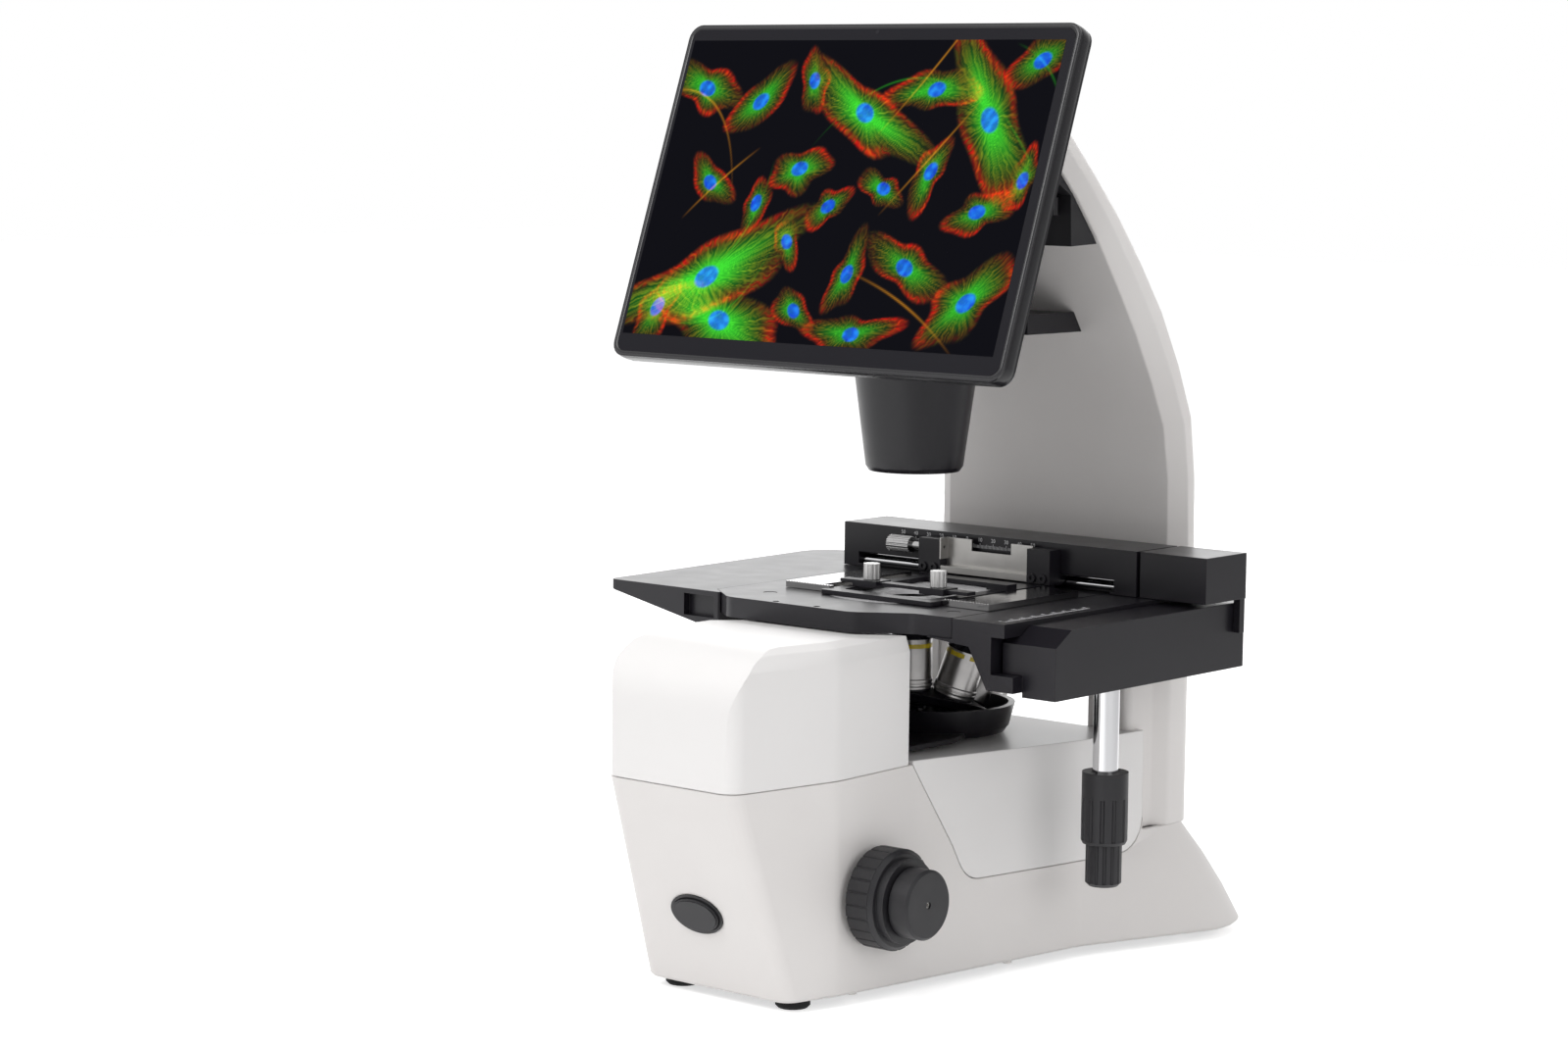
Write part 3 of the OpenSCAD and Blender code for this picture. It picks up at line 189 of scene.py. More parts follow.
# ---- The bright metal: plates, rods, screws ----
# Stainless sheet brushed along its length, ground rods, a plated tube and turned alloy knobs.
# Screws hold them down, and the rods are pressed into the cross housing.
brushed_steel, tree, shader, place = surface("brushed_stainless_steel", "#B9B7B4", 0.3, 1.0)
mottled(tree, shader, place, "#AEACA9", "#C6C4C1", 12)
grained(tree, shader, place, 0.6, 0.02, 0.3, (0.04, 1, 1), 0.25)
finish(brushed_steel, "carriage_plate", "base_screws", "coarse_shaft", "fine_shaft")
polished_steel, tree, shader, place = surface("polished_stainless_steel", "#B4B3B3", 0.12, 1.0)
mottled(tree, shader, place, "#ACABAB", "#BCBBBB", 10)
worn(tree, shader, place, 0.08, 0.18, 7)
finish(polished_steel, "specimen_plates", "lock_screw")
polished_chrome, tree, shader, place = surface("polished_chrome_plate", "#D9D9DB", 0.08, 1.0)
worn(tree, shader, place, 0.05, 0.13, 20)
finish(polished_chrome, "control_tube", "guide_rods")
satin_alloy, tree, shader, place = surface("satin_turned_aluminium", "#D4D3D2", 0.28, 1.0)
worn(tree, shader, place, 0.22, 0.36, 8)
grained(tree, shader, place, 0.5, 0.015, 0.25, (1, 1, 0.3), 0.3)
finish(satin_alloy, "clamp_knob_left", "clamp_knob_right", "lamp_unit")

# ---- The stage insert ----
# A disc of opal acrylic that drops into the stage plate and carries the vessel over the light hole.
# Its top is smooth and picks up the room.
opal_acrylic, tree, shader, place = surface("opal_acrylic", "#E6E5E7", 0.25)
mottled(tree, shader, place, "#E2E1E3", "#EAE9EB", 20)
worn(tree, shader, place, 0.2, 0.32, 10)
finish(opal_acrylic, "stage_insert")

# ---- Inside: gears, glass and electronics ----
# Machined brass rack and pinion, coated lenses, a front-coated mirror and the supply board.
# All sit in the base or the head, out of sight in normal use.
cut_brass, tree, shader, place = surface("machined_brass", "#B5924A", 0.3, 1.0)
mottled(tree, shader, place, "#A88743", "#BF9C54", 5)
grained(tree, shader, place, 0.7, 0.02, 0.3, (1, 0.1, 1), 0.2)
finish(cut_brass, "focus_pinion", "focus_rack")
coated_glass, tree, shader, place = surface("coated_lens_glass", "#DCE6EE", 0.02)
shader.inputs["Transmission Weight"].default_value = 0.9
shader.inputs["IOR"].default_value = 1.52
worn(tree, shader, place, 0.015, 0.04, 10)
finish(coated_glass, "tube_lens", "condenser_lens")
front_mirror, tree, shader, place = surface("front_coated_mirror", "#E8ECEF", 0.03, 1.0)
worn(tree, shader, place, 0.02, 0.05, 15)
finish(front_mirror, "lower_mirror")
solder_mask, tree, shader, place = surface("green_solder_mask", "#1F5C3A", 0.4)
mottled(tree, shader, place, "#1B5233", "#256843", 4)
finish(solder_mask, "power_board")

# ---- The objectives ----
# Nickel-plated barrels turned on a lathe: a collar with grooves, the yellow magnification ring and a
# black spring nose. Each screws into its seat on the tilted turret.
nickel, tree, shader, place = surface("satin_nickel_plate", "#A9A7A6", 0.3, 1.0)
mottled(tree, shader, place, "#A3A1A0", "#B0AEAD", 7)
worn(tree, shader, place, 0.24, 0.36, 5)
finish(nickel, "objective_main", "objective_second", "objective_short")
ring_enamel, tree, shader, place = surface("yellow_ring_enamel", "#C9B21E", 0.35)
mottled(tree, shader, place, "#C0A91A", "#D2BB28", 3)
nose_black, tree, shader, place = surface("black_chromed_brass", "#1B1A20", 0.22, 0.6)
worn(tree, shader, place, 0.18, 0.3, 4)

turret_lean = math.radians(15)
seat_circle = 21.7
seat_height = 160
barrel = 12.4


def dressed(name, mesh, material, body, sharp_above=35):
    """Makes the piece's object from a final mesh, gives it its finish and lets it ride its body."""
    mesh.materials.clear()
    mesh.materials.append(material)
    mesh.polygons.foreach_set("use_smooth", [True] * len(mesh.polygons))
    mesh.set_sharp_from_angle(angle=math.radians(sharp_above))
    piece = bpy.data.objects.new(name, mesh)
    bpy.context.scene.collection.objects.link(piece)
    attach(piece, body)
    return piece


def made(name, points, faces, material, body, slot, sharp_above=35):
    """A finished piece from its corners and faces, welded and with its normals outwards."""
    mesh = bpy.data.meshes.new(name)
    mesh.from_pydata([tuple(p) for p in points], [], faces)
    shape = bmesh.new()
    shape.from_mesh(mesh)
    bmesh.ops.remove_doubles(shape, verts=shape.verts, dist=1e-7)
    bmesh.ops.recalc_face_normals(shape, faces=shape.faces)
    shape.to_mesh(mesh)
    shape.free()
    return dressed(name, mesh, material, body, sharp_above)


def turned(profile, place, steps=64, start=0.0, end=360.0):
    """Corners and faces of a profile (radius, height in mm) turned about the axis, whole or as an arc."""
    whole = end - start >= 360
    count = steps if whole else steps + 1
    points, faces = [], []
    for i in range(count):
        a = math.radians(start + (end - start) * i / steps)
        points += [place @ Vector((r * math.cos(a) * MM, r * math.sin(a) * MM, h * MM)) for r, h in profile]
    n = len(profile)
    for i in range(steps):
        j = (i + 1) % count
        faces += [(i * n + k, j * n + k, j * n + (k + 1) % n, i * n + (k + 1) % n) for k in range(n)]
    if not whole:
        faces += [tuple(range(n)), tuple((count - 1) * n + k for k in range(n))]
    return points, faces


def gathered(parts):
    """Several lots of corners and faces as one."""
    points, faces = [], []
    for more_points, more_faces in parts:
        faces += [tuple(len(points) + i for i in face) for face in more_faces]
        points += more_points
    return points, faces


def objective_seat(position):
    """Where a seat of the turret is, with its axis along Z."""
    middle = Matrix.Translation((0, seat_circle * MM * math.cos(turret_lean),
                                 (seat_height - seat_circle * math.sin(turret_lean)) * MM))
    return (middle @ Matrix.Rotation(-turret_lean, 4, "X") @ Matrix.Rotation(math.radians(position * 72), 4, "Z")
            @ Matrix.Translation((0, -seat_circle * MM, 0)) @ Matrix.Rotation(turret_lean, 4, "X"))


for name, position, height, tip, ring_at in [("objective_main", 0, 48, 5.5, 24.5),
                                             ("objective_second", 1, 45, 6.5, 24.0)]:
    seat = objective_seat(position)
    shoulder = 0.05 + 0.62 * height
    collar = [(barrel + o, h) for o, h in [(-0.3, 1.0), (0.5, 1.3), (0.7, 1.7), (0.7, 3.0), (0.35, 3.3),
                                           (0.35, 3.8), (0.7, 4.1), (0.7, 5.4), (0.3, 5.9), (-0.3, 6.1)]]
    made(name + "_collar", *turned(collar, seat), nickel, "turret", "steel")
    arcs = [(0, 360)] if position == 0 else [(a, a + 44) for a in range(8, 360, 60)]
    band = [(barrel - 0.4, ring_at), (barrel + 0.16, ring_at), (barrel + 0.16, ring_at + 2.6),
            (barrel - 0.4, ring_at + 2.6)]
    made(name + "_ring", *gathered([turned(band, seat, 64 if e - s >= 360 else 12, s, e) for s, e in arcs]),
         ring_enamel, "turret", "white_paint")
    nose = [(barrel - 0.5, shoulder - 0.2), (barrel + 0.12, shoulder), (tip + 3.3, shoulder + 0.2 * height),
            (tip + 2.6, shoulder + 0.2 * height + 0.35), (tip + 0.4, 0.985 * height), (tip - 0.2, height),
            (tip - 0.9, height), (tip - 0.9, height - 2), (tip + 1, shoulder + 0.2 * height - 1)]
    made(name + "_nose", *turned(nose, seat), nose_black, "turret", "black_anodised")

# The short one has a stepped cone of bare nickel
short_cone = [(12.0, 13.9), (12.7, 14.6), (12.7, 16.6), (11.2, 18.0), (11.2, 18.6), (11.7, 18.9),
              (9.4, 24.3), (8.2, 24.3), (8.0, 20.0), (11.0, 14.2)]
made("objective_short_cone", *turned(short_cone, objective_seat(2)), nickel, "turret", "steel")


# ---- Graduations ----
# Lines and figures are engraved in the black metal and wiped with white filler.
# The cross housing counts both ways from its middle, and the rail counts from front to back.
def grown(name, build, values, material, place, body, sharp_above=35):
    """Runs a node tree on an empty mesh, puts the result in place, and dresses it as a plain mesh."""
    tree = bpy.data.node_groups.new(name + "_rule", "GeometryNodeTree")
    tree.interface.new_socket("Geometry", in_out="OUTPUT", socket_type="NodeSocketGeometry")
    for label, value in values.items():
        kind = "NodeSocketInt" if isinstance(value, int) else "NodeSocketFloat"
        tree.interface.new_socket(label, in_out="INPUT", socket_type=kind)
    given = tree.nodes.new("NodeGroupInput").outputs
    real = add(tree, "GeometryNodeRealizeInstances", links={0: build(tree, given)})
    coat = add(tree, "GeometryNodeSetMaterial", {"Material": material}, {"Geometry": real.outputs[0]})
    add(tree, "NodeGroupOutput", links={0: coat.outputs[0]})
    holder = bpy.data.objects.new(name + "_holder", bpy.data.meshes.new(name + "_holder"))
    bpy.context.scene.collection.objects.link(holder)
    maker = holder.modifiers.new("rule", "NODES")
    maker.node_group = tree
    for item in tree.interface.items_tree:
        if item.item_type == "SOCKET" and item.in_out == "INPUT":
            maker[item.identifier] = values[item.name]
    mesh = bpy.data.meshes.new_from_object(
        holder.evaluated_get(bpy.context.evaluated_depsgraph_get()))
    holder.modifiers.remove(maker)
    bpy.data.objects.remove(holder)
    mesh.name = name
    mesh.transform(place)
    return dressed(name, mesh, material, body, sharp_above)


def ruled_row(tree, given):
    """Marks at an even pitch along X, standing up from Z 0; each fifth and tenth is longer."""
    pitch = add(tree, "ShaderNodeCombineXYZ", links={0: given["Pitch"]})
    line = add(tree, "GeometryNodeMeshLine", {"mode": "OFFSET"},
               {"Count": given["Count"], "Offset": pitch.outputs[0]})
    index = add(tree, "GeometryNodeInputIndex").outputs[0]
    height = given["Short"]
    for every, taller in ((5, "Middle"), (10, "Long")):
        rest = add(tree, "ShaderNodeMath", {"operation": "MODULO", 1: every}, {0: index})
        on = add(tree, "ShaderNodeMath", {"operation": "LESS_THAN", 1: 0.5}, {0: rest.outputs[0]})
        height = add(tree, "ShaderNodeMix", {"data_type": "FLOAT"},
                     {0: on.outputs[0], 2: height, 3: given[taller]}).outputs[0]
    size = add(tree, "ShaderNodeCombineXYZ", links={0: given["Width"], 1: given["Depth"], 2: height})
    mark = add(tree, "GeometryNodeMeshCube", {"Size": (1, 1, 1)})
    raised = add(tree, "GeometryNodeTransform", {"Translation": (0, 0, 0.5)}, {"Geometry": mark.outputs[0]})
    return add(tree, "GeometryNodeInstanceOnPoints", links={
        "Points": line.outputs[0], "Instance": raised.outputs[0], "Scale": size.outputs[0]}).outputs[0]


def worded(name, labels, height, material, body, slot):
    """Figures, each set at its own place and joined into one thin mesh."""
    parts = []
    for word, where in labels:
        curve = bpy.data.curves.new(name + "_type", "FONT")
        curve.body = word
        curve.size = height * MM * 1.4
        curve.align_x = "CENTER"
        curve.align_y = "CENTER"
        curve.extrude = 0.03 * MM
        curve.resolution_u = 3
        holder = bpy.data.objects.new(name + "_type", curve)
        bpy.context.scene.collection.objects.link(holder)
        bpy.context.view_layer.update()
        mesh = bpy.data.meshes.new_from_object(
            holder.evaluated_get(bpy.context.evaluated_depsgraph_get()))
        bpy.data.objects.remove(holder)
        parts.append(([where @ v.co for v in mesh.vertices], [tuple(p.vertices) for p in mesh.polygons]))
    return made(name, *gathered(parts), material, body, slot)


scale_white, tree, shader, place = surface("white_engraving_fill", "#F2F2F4", 0.6)
mottled(tree, shader, place, "#ECECEE", "#F6F6F8", 3)

cross_zero = -17.4
cross_face = 75.2
upright = Matrix.Rotation(math.radians(90), 4, "X")
grown("cross_scale_marks", ruled_row,
      {"Count": 101, "Pitch": 1.0, "Short": 1.9, "Middle": 2.4, "Long": 3.0, "Width": 0.3, "Depth": 0.06},
      scale_white, Matrix.Translation(((cross_zero - 50) * MM, (cross_face - 0.02) * MM, 236.3 * MM))
      @ Matrix.Scale(MM, 4), "cross_slide")
worded("cross_scale_figures",
       [(str(abs(k) * 10), Matrix.Translation(((cross_zero + 10 * k) * MM, (cross_face - 0.03) * MM, 241.3 * MM))
         @ upright) for k in range(-5, 6)], 2.4, scale_white, "cross_slide", "white_paint")

rail_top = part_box("stage_plate")[1].z / MM
rail_zero = -62
along = Matrix.Rotation(math.radians(90), 4, "Z") @ Matrix.Rotation(math.radians(-90), 4, "X")
grown("rail_scale_marks", ruled_row,
      {"Count": 81, "Pitch": 1.0, "Short": 1.8, "Middle": 2.4, "Long": 3.0, "Width": 0.28, "Depth": 0.06},
      scale_white, Matrix.Translation((117.0 * MM, rail_zero * MM, (rail_top + 0.02) * MM)) @ along
      @ Matrix.Scale(MM, 4), "stand")
worded("rail_scale_figures",
       [(str(10 * k), Matrix.Translation((112.6 * MM, (rail_zero + 10 * k) * MM, (rail_top + 0.03) * MM))
         @ Matrix.Rotation(math.radians(90), 4, "Z")) for k in range(9)],
       2.0, scale_white, "stand", "white_paint")


# ---- The specimen plates' edge ----
# The polished steel plates have a row of stamped dimples along their front edge, which grips a flask.
# The press leaves each one slightly raised.
def domed_row(tree, given):
    """Low domes at an even pitch along X, on Z 0."""
    pitch = add(tree, "ShaderNodeCombineXYZ", links={0: given["Pitch"]})
    line = add(tree, "GeometryNodeMeshLine", {"mode": "OFFSET"},
               {"Count": given["Count"], "Offset": pitch.outputs[0]})
    dome = add(tree, "GeometryNodeMeshUVSphere", {"Segments": 10, "Rings": 6, "Radius": 1.0})
    size = add(tree, "ShaderNodeCombineXYZ", links={0: given["Radius"], 1: given["Radius"], 2: given["Rise"]})
    return add(tree, "GeometryNodeInstanceOnPoints", links={
        "Points": line.outputs[0], "Instance": dome.outputs[0], "Scale": size.outputs[0]}).outputs[0]


plates_low, plates_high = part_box("specimen_plates")
for side, start in (("left", plates_low.x / MM + 2), ("right", plates_high.x / MM - 33)):
    grown("plate_dimples_" + side, domed_row,
          {"Count": 16, "Pitch": 2.07, "Radius": 0.55, "Rise": 0.3}, polished_steel,
          Matrix.Translation((start * MM, plates_low.y + 1.6 * MM, plates_high.z)) @ Matrix.Scale(MM, 4),
          "carriage")


# ---- The fine knobs' screws ----
# A steel socket screw in the middle of each fine knob holds it on the inner shaft.
# Its head sits below the face.
def socket_screw(place, radius, socket, depth):
    """A socket screw's head with a rounded rim and a six-sided recess, axis along Z, face at Z 0."""
    steps = 24
    turns = [2 * math.pi * i / steps for i in range(steps)]
    points = [(r * math.cos(a), r * math.sin(a), h)
              for r, h in ((radius, -depth - 0.6), (radius, -0.18 * radius), (radius * 0.86, 0.0)) for a in turns]
    for h in (0.0, -depth):
        for a in turns:
            reach = socket * math.cos(math.pi / 6) / math.cos((a + math.pi / 6) % (math.pi / 3) - math.pi / 6)
            points.append((reach * math.cos(a), reach * math.sin(a), h))
    points += [(0, 0, -depth), (0, 0, -depth - 0.6)]
    faces = [(ring * steps + i, ring * steps + (i + 1) % steps, (ring + 1) * steps + (i + 1) % steps,
              (ring + 1) * steps + i) for ring in range(4) for i in range(steps)]
    faces += [(4 * steps + i, 4 * steps + (i + 1) % steps, 5 * steps) for i in range(steps)]
    faces += [(i, (i + 1) % steps, 5 * steps + 1) for i in range(steps)]
    return [place @ (Vector(p) * MM) for p in points], faces


knob_low, knob_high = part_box("fine_knob_right")
knob_centre = (knob_low + knob_high) / 2
for side, sign in (("right", 1), ("left", -1)):
    face = Vector((sign * (knob_high.x - 0.9 * MM), knob_centre.y, knob_centre.z))
    made("knob_screw_" + side,
         *socket_screw(Matrix.Translation(face) @ Matrix.Rotation(math.radians(90 * sign), 4, "Y"), 1.95, 1.1, 1.4),
         brushed_steel, "focus_fine", "steel")

# ---- The stage control's set screws ----
# Grub screws round the collar of the upper knob pinch it on the tube.
# They are short, black and sunk just under the surface.
collar_low, collar_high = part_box("upper_control_knob")
axis = (collar_low + collar_high) / 2
collar_radius = (collar_high.x - collar_low.x) / 2 - 0.15 * MM
grubs = []
for angle in (-100, -20, 60, 140):
    out = Vector((math.cos(math.radians(angle)), math.sin(math.radians(angle)), 0))
    spot = Vector((axis.x, axis.y, collar_high.z - 9 * MM)) + out * collar_radius
    grubs.append(socket_screw(
        Matrix.Translation(spot) @ out.to_track_quat("Z", "Y").to_matrix().to_4x4(), 1.5, 0.8, 1.2))
made("control_grub_screws", *gathered(grubs), nose_black, "control_upper", "black_anodised")

# ---- The screen ----
# A 14 inch panel in a thin glossy black moulding with a rounded edge all round. The cover glass is
# bonded in, and the picture behind it is lit. The panel hangs on the hinge behind it.
gloss_black, tree, shader, place = surface("gloss_black_moulding", "#17161A", 0.26)
mottled(tree, shader, place, "#151418", "#1A191D", 50)
worn(tree, shader, place, 0.22, 0.3, 40)
finish(gloss_black, "screen_housing")
cover_glass, tree, shader, place = surface("black_printed_glass", "#17161C", 0.3)
shader.inputs["Specular IOR Level"].default_value = 0.12
mottled(tree, shader, place, "#16151B", "#19181E", 70)
worn(tree, shader, place, 0.26, 0.34, 60)
finish(cover_glass, "screen_glass")

screen_lean = math.radians(19.8)
screen_wide = 290.5
screen_tall = 208
screen_corner = 9
on_screen = (Matrix.Translation(Vector((0, -108.9, 355.7)) * MM) @ Matrix.Rotation(-screen_lean, 4, "X"))


def round_frame(inset, steps=8):
    """Points round the screen's rounded outline, set in from its edge."""
    r = max(screen_corner - inset, 0.4)
    points = []
    for cx, cy, start in ((1, 0, -90), (1, 1, 0), (-1, 1, 90), (-1, 0, 180)):
        for i in range(steps + 1):
            a = math.radians(start + 90 * i / steps)
            points.append((cx * (screen_wide / 2 - inset - r) + r * math.cos(a),
                           (screen_tall - inset - r if cy else inset + r) + r * math.sin(a)))
    return points


# Rounded rim, as distance in from the edge and depth behind the front
rim_profile = [(3.1, 0.05), (2.5, -0.22), (1.8, -0.2), (1.0, 0.15), (0.3, 0.85), (-0.15, 1.9), (-0.35, 3.2),
               (-0.38, 6.2), (-0.25, 8.2), (0.15, 9.6), (0.8, 10.6), (1.6, 11.1), (2.4, 11.1), (2.4, 9.0),
               (3.1, 1.4)]
rim_points = [on_screen @ (Vector((x, deep, v)) * MM) for inset, deep in rim_profile for x, v in round_frame(inset)]
loop = len(rim_points) // len(rim_profile)
rim_faces = [(k * loop + i, k * loop + (i + 1) % loop, (k + 1) % len(rim_profile) * loop + (i + 1) % loop,
              (k + 1) % len(rim_profile) * loop + i) for k in range(len(rim_profile)) for i in range(loop)]
made("screen_rim", rim_points, rim_faces, gloss_black, "screen", "black_plastic", 50)

# Camera window at the top of the frame
lens_dot = [(0.0, 0.0), (1.3, 0.0), (1.3, 0.1), (0.9, 0.12), (0.0, 0.06)]
made("screen_camera", *turned(lens_dot, on_screen @ Matrix.Translation((0, 0, (screen_tall - 5) * MM))
                              @ Matrix.Rotation(math.radians(90), 4, "X"), 24),
     nose_black, "screen", "screen_glass")

# The picture: cultured cells under fluorescence, drawn by rule from seeded numbers. Green threads run
# out of each cell's middle, red ones follow its rim, and the nucleus is blue, on black.
columns, rows = 372, 248
grid_x, grid_y = np.meshgrid(np.linspace(-140, 136, columns + 1), np.linspace(14, 198, rows + 1))
draw = np.random.default_rng(41)


def waves(count, lowest, highest):
    """A sum of random waves over the picture, about -1 to 1."""
    total = np.zeros_like(grid_x)
    for _ in range(count):
        bearing, pace, phase = draw.uniform(0, math.pi), draw.uniform(lowest, highest), draw.uniform(0, 6.28)
        total += np.sin((grid_x * math.cos(bearing) + grid_y * math.sin(bearing)) * pace + phase)
    return total / math.sqrt(count) / 1.4


drift = waves(9, 0.03, 0.12)
fine = waves(14, 0.5, 1.3)
red = np.zeros_like(grid_x)
green = np.zeros_like(grid_x)
blue = np.zeros_like(grid_x)
# Each cell: middle across and up, size, how much longer than wide, turn in degrees, brightness
cells = [(-118, 30, 20, 1.5, 60, 0.5), (-84, 52, 34, 2.6, 24, 1.0), (-100, 110, 17, 1.4, -35, 0.55),
         (-66, 24, 30, 2.2, -12, 0.85), (-60, 96, 15, 1.3, 80, 0.5), (-34, 118, 19, 1.5, 15, 0.6),
         (-30, 74, 14, 1.2, -50, 0.55), (-6, 96, 15, 1.3, 30, 0.5), (-120, 168, 22, 1.5, -20, 0.6),
         (-76, 160, 20, 1.6, 40, 0.55), (-38, 172, 15, 1.7, -70, 0.5), (6, 152, 26, 2.4, -32, 0.95),
         (52, 168, 20, 1.7, 12, 0.6), (96, 150, 30, 2.3, -58, 0.9), (122, 186, 20, 1.4, 30, 0.5),
         (30, 108, 14, 1.3, -20, 0.5), (62, 118, 17, 1.4, 65, 0.55), (104, 96, 18, 1.5, 10, 0.55),
         (20, 56, 17, 1.5, 75, 0.5), (62, 62, 22, 1.6, -28, 0.6), (108, 44, 24, 1.8, 38, 0.65),
         (32, 22, 18, 1.9, 8, 0.5), (-14, 34, 15, 1.4, -40, 0.5), (128, 116, 14, 1.6, 80, 0.45)]
for cx, cy, size, longer, turned_by, glow in cells:
    a = math.radians(turned_by)
    u = (grid_x - cx) * math.cos(a) + (grid_y - cy) * math.sin(a)
    v = -(grid_x - cx) * math.sin(a) + (grid_y - cy) * math.cos(a)
    reach = np.hypot(u / longer, v)
    angle = np.arctan2(v, u / longer)
    # The outline is a rounded star, pointed where the cell is drawn out
    outline = size * (0.66 + 0.34 * np.abs(np.cos(angle + draw.uniform(-0.3, 0.3))) ** 4)
    for k in (2, 3, 5):
        outline = outline * (1 + draw.uniform(0.04, 0.15) * np.cos(k * angle + draw.uniform(0, 6.28)))
    t = reach / outline + 0.05 * drift
    inside = np.clip((1.0 - t) * 9, 0, 1)
    bend = angle + 0.22 * drift * t + draw.uniform(0, 6.28)
    threads = np.zeros_like(t)
    for pace, weight in ((23, 0.5), (41, 0.6), (67, 0.5)):
        threads += weight * np.clip(np.cos(bend * pace + 2.2 * fine * t + draw.uniform(0, 6.28)), 0, 1) ** 3
    green += inside * glow * (0.9 * np.exp(-(t * 2.6) ** 2) + np.exp(-(t * 1.6) ** 2) * (0.04 + 0.5 * threads))
    streaks = 0.35 + 0.65 * np.clip(np.cos(bend * 31 + 3 * fine), 0, 1) ** 2
    uneven = np.clip(0.55 + 0.6 * np.cos(angle * 2 + draw.uniform(0, 6.28)) + 0.3 * drift, 0.08, 1)
    red += inside * (0.75 * np.exp(-((t - 0.86) / 0.11) ** 2) * streaks * uneven
                     + 0.16 * np.exp(-((t - 0.6) / 0.25) ** 2) * threads)
    away = np.hypot((u - draw.uniform(-2, 2)) / (size * 0.20 + 2.2), (v - draw.uniform(-1, 1)) / (size * 0.13 + 1.8))
    nucleus = np.clip((1.08 - away) * 5, 0, 1)
    green *= 1 - 0.72 * nucleus
    red *= 1 - 0.8 * nucleus
    blue += nucleus * (0.72 + 0.28 * np.clip(fine + 0.2, -0.6, 1))
    green += nucleus * 0.22 * np.clip(fine, 0, 1)
# A few long thin processes reach from cell to cell
for _ in range(10):
    cx, cy = draw.uniform(-135, 130), draw.uniform(20, 190)
    a, curl, span = draw.uniform(-0.9, 1.1), draw.uniform(-0.012, 0.012), draw.uniform(22, 60)
    u = (grid_x - cx) * math.cos(a) + (grid_y - cy) * math.sin(a)
    v = -(grid_x - cx) * math.sin(a) + (grid_y - cy) * math.cos(a) - curl * u * u
    strand = np.exp(-(v / 0.55) ** 2) * np.clip(1.1 - np.abs(u) / span, 0, 1)
    red += draw.integers(0, 2) * 0.45 * strand
    green += 0.2 * strand
picture = np.stack([np.clip(red, 0, 1) * 0.86 + 0.004 + 0.05 * np.clip(green, 0, 1),
                    np.clip(green, 0, 1) * 0.80 + 0.004,
                    np.clip(blue, 0, 1) * 0.92 + 0.006 + 0.03 * np.clip(green, 0, 1),
                    np.ones_like(red)], axis=-1)
wide = columns + 1
mesh = bpy.data.meshes.new("screen_picture")
mesh.from_pydata([tuple(on_screen @ (Vector((x, -0.08, v)) * MM))
                  for x, v in zip(grid_x.ravel().tolist(), grid_y.ravel().tolist())], [],
                 [(j * wide + i, j * wide + i + 1, (j + 1) * wide + i + 1, (j + 1) * wide + i)
                  for j in range(rows) for i in range(columns)])
paint = mesh.color_attributes.new("cell_colours", "FLOAT_COLOR", "POINT")
paint.data.foreach_set("color", picture.astype(np.float32).ravel())
lit_picture, tree, shader, place = surface("lit_panel_picture", "#060608", 0.28)
colours = add(tree, "ShaderNodeVertexColor", {"layer_name": "cell_colours"})
tree.links.new(colours.outputs[0], shader.inputs["Emission Color"])
shader.inputs["Emission Strength"].default_value = 1.0
shader.inputs["Specular IOR Level"].default_value = 0.0
dressed("screen_picture", mesh, lit_picture, "screen")

# ---- The room: floor, light and camera ----
# A pale sweep with soft boxes above the front and the top, one to the right, and a low panel behind
# that puts the grey sheen on the stage, as in a catalogue studio.
# The camera stands to the right front, a little above the stage.
def seen_as_backdrop(tree, toward):
    """One where the camera, a reflection or glass meets the lit backdrop, and nothing for soft light.

    Reflections fade towards the unlit right-hand side of the room."""
    path = add(tree, "ShaderNodeLightPath")
    reach = add(tree, "ShaderNodeVectorMath", {"operation": "DOT_PRODUCT", 1: (1, 0.1, 0)}, {0: toward})
    lit = add(tree, "ShaderNodeMapRange", {"From Min": 0.1, "From Max": 0.6, "To Min": 1.0, "To Max": 0.0},
              {"Value": reach.outputs["Value"]})
    mirrored = add(tree, "ShaderNodeMath", {"operation": "MULTIPLY"},
                   {0: path.outputs["Is Glossy Ray"], 1: lit.outputs[0]})
    seen = path.outputs["Is Camera Ray"]
    for ray in (mirrored.outputs[0], path.outputs["Is Transmission Ray"]):
        seen = add(tree, "ShaderNodeMath", {"operation": "MAXIMUM"}, {0: seen, 1: ray}).outputs[0]
    return seen


floor_paper, tree, shader, place = surface("studio_paper", "#F4F4F4", 0.8)
strength = add(tree, "ShaderNodeMath", {"operation": "MULTIPLY", 1: 0.62}, {0: seen_as_backdrop(tree, place)})
shader.inputs["Emission Color"].default_value = (1, 1, 1, 1)
tree.links.new(strength.outputs[0], shader.inputs["Emission Strength"])
mesh = bpy.data.meshes.new("floor")
mesh.from_pydata([(-9, -9, 0), (9, -9, 0), (9, 9, 0), (-9, 9, 0)], [], [(0, 1, 2, 3)])
mesh.materials.append(floor_paper)
floor = bpy.data.objects.new("floor", mesh)
bpy.context.scene.collection.objects.link(floor)

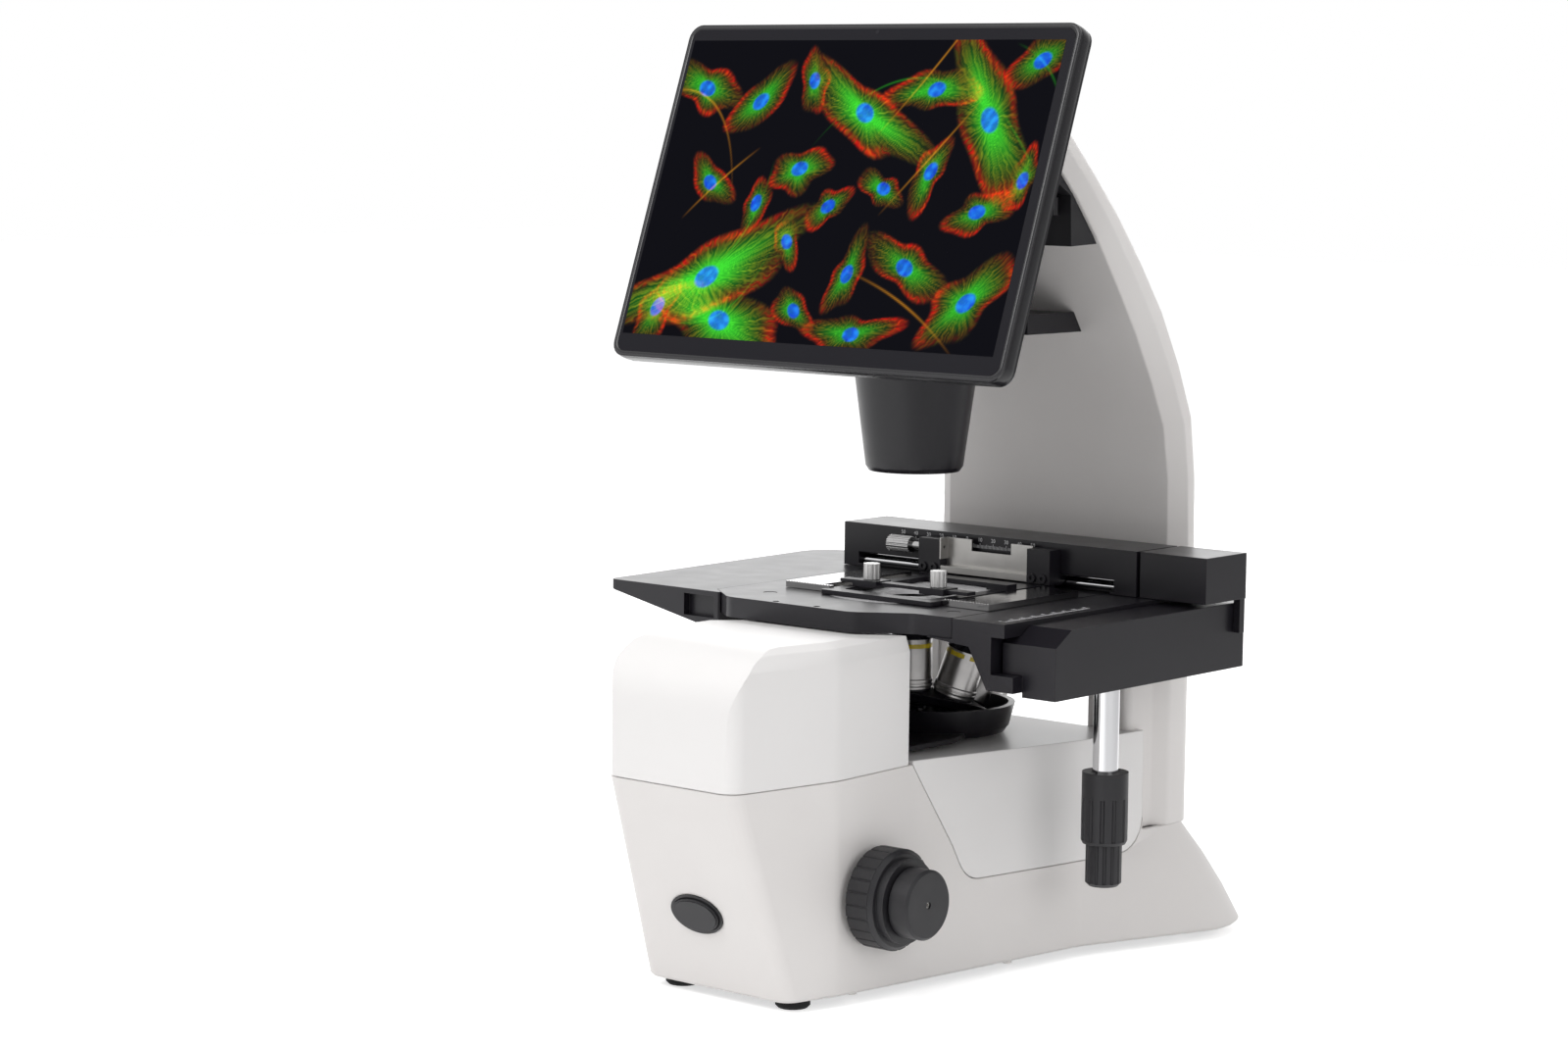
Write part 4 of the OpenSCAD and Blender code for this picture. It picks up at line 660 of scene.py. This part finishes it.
world = bpy.data.worlds.new("studio")
bpy.context.scene.world = world
world.use_nodes = True
tree = world.node_tree
tree.nodes.clear()
toward = add(tree, "ShaderNodeTexCoord").outputs["Generated"]
level = add(tree, "ShaderNodeMix", {"data_type": "FLOAT", 2: 0.42, 3: 1.0}, {0: seen_as_backdrop(tree, toward)})
sky = add(tree, "ShaderNodeBackground", {"Color": (1, 1, 1, 1)}, {"Strength": level.outputs[0]})
add(tree, "ShaderNodeOutputWorld", links={"Surface": sky.outputs[0]})

for name, spot, size, power, aim in [
        ("key_box", (-0.5, -2.3, 2.5), 1.6, 44, (0, 0, 0.25)),
        ("top_box", (0.1, 0.1, 2.3), 1.8, 16, (0, 0, 0.2)),
        ("side_box", (2.4, -0.6, 1.1), 1.4, 11, (0, 0, 0.3)),
        ("rear_panel", (-1.4, 2.0, 0.85), 1.6, 8.5, (0, 0, 0.3))]:
    lamp = bpy.data.lights.new(name, "AREA")
    lamp.energy = power
    lamp.size = size
    lamp_object = bpy.data.objects.new(name, lamp)
    lamp_object.location = spot
    lamp_object.rotation_euler = (Vector(aim) - Vector(spot)).to_track_quat("-Z", "Y").to_euler()
    bpy.context.scene.collection.objects.link(lamp_object)

bearing, rise, roll = (math.radians(a) for a in (40.42, 6.47, 0.64))
ahead = Vector((-math.sin(bearing) * math.cos(rise), math.cos(bearing) * math.cos(rise), -math.sin(rise)))
flat_right = Vector((math.cos(bearing), math.sin(bearing), 0))
flat_up = flat_right.cross(ahead)
right = math.cos(roll) * flat_right + math.sin(roll) * flat_up
up = -math.sin(roll) * flat_right + math.cos(roll) * flat_up
camera_data = bpy.data.cameras.new("camera")
camera_data.sensor_width = 36
camera_data.lens = 84.84
camera_data.clip_start = 0.05
camera = bpy.data.objects.new("camera", camera_data)
camera.matrix_world = Matrix.Translation((1.3564, -1.7113, 0.5049)) @ Matrix(
    (right, up, -ahead)).transposed().to_4x4()
bpy.context.scene.collection.objects.link(camera)
bpy.context.scene.camera = camera
bpy.context.scene.view_settings.view_transform = "Standard"
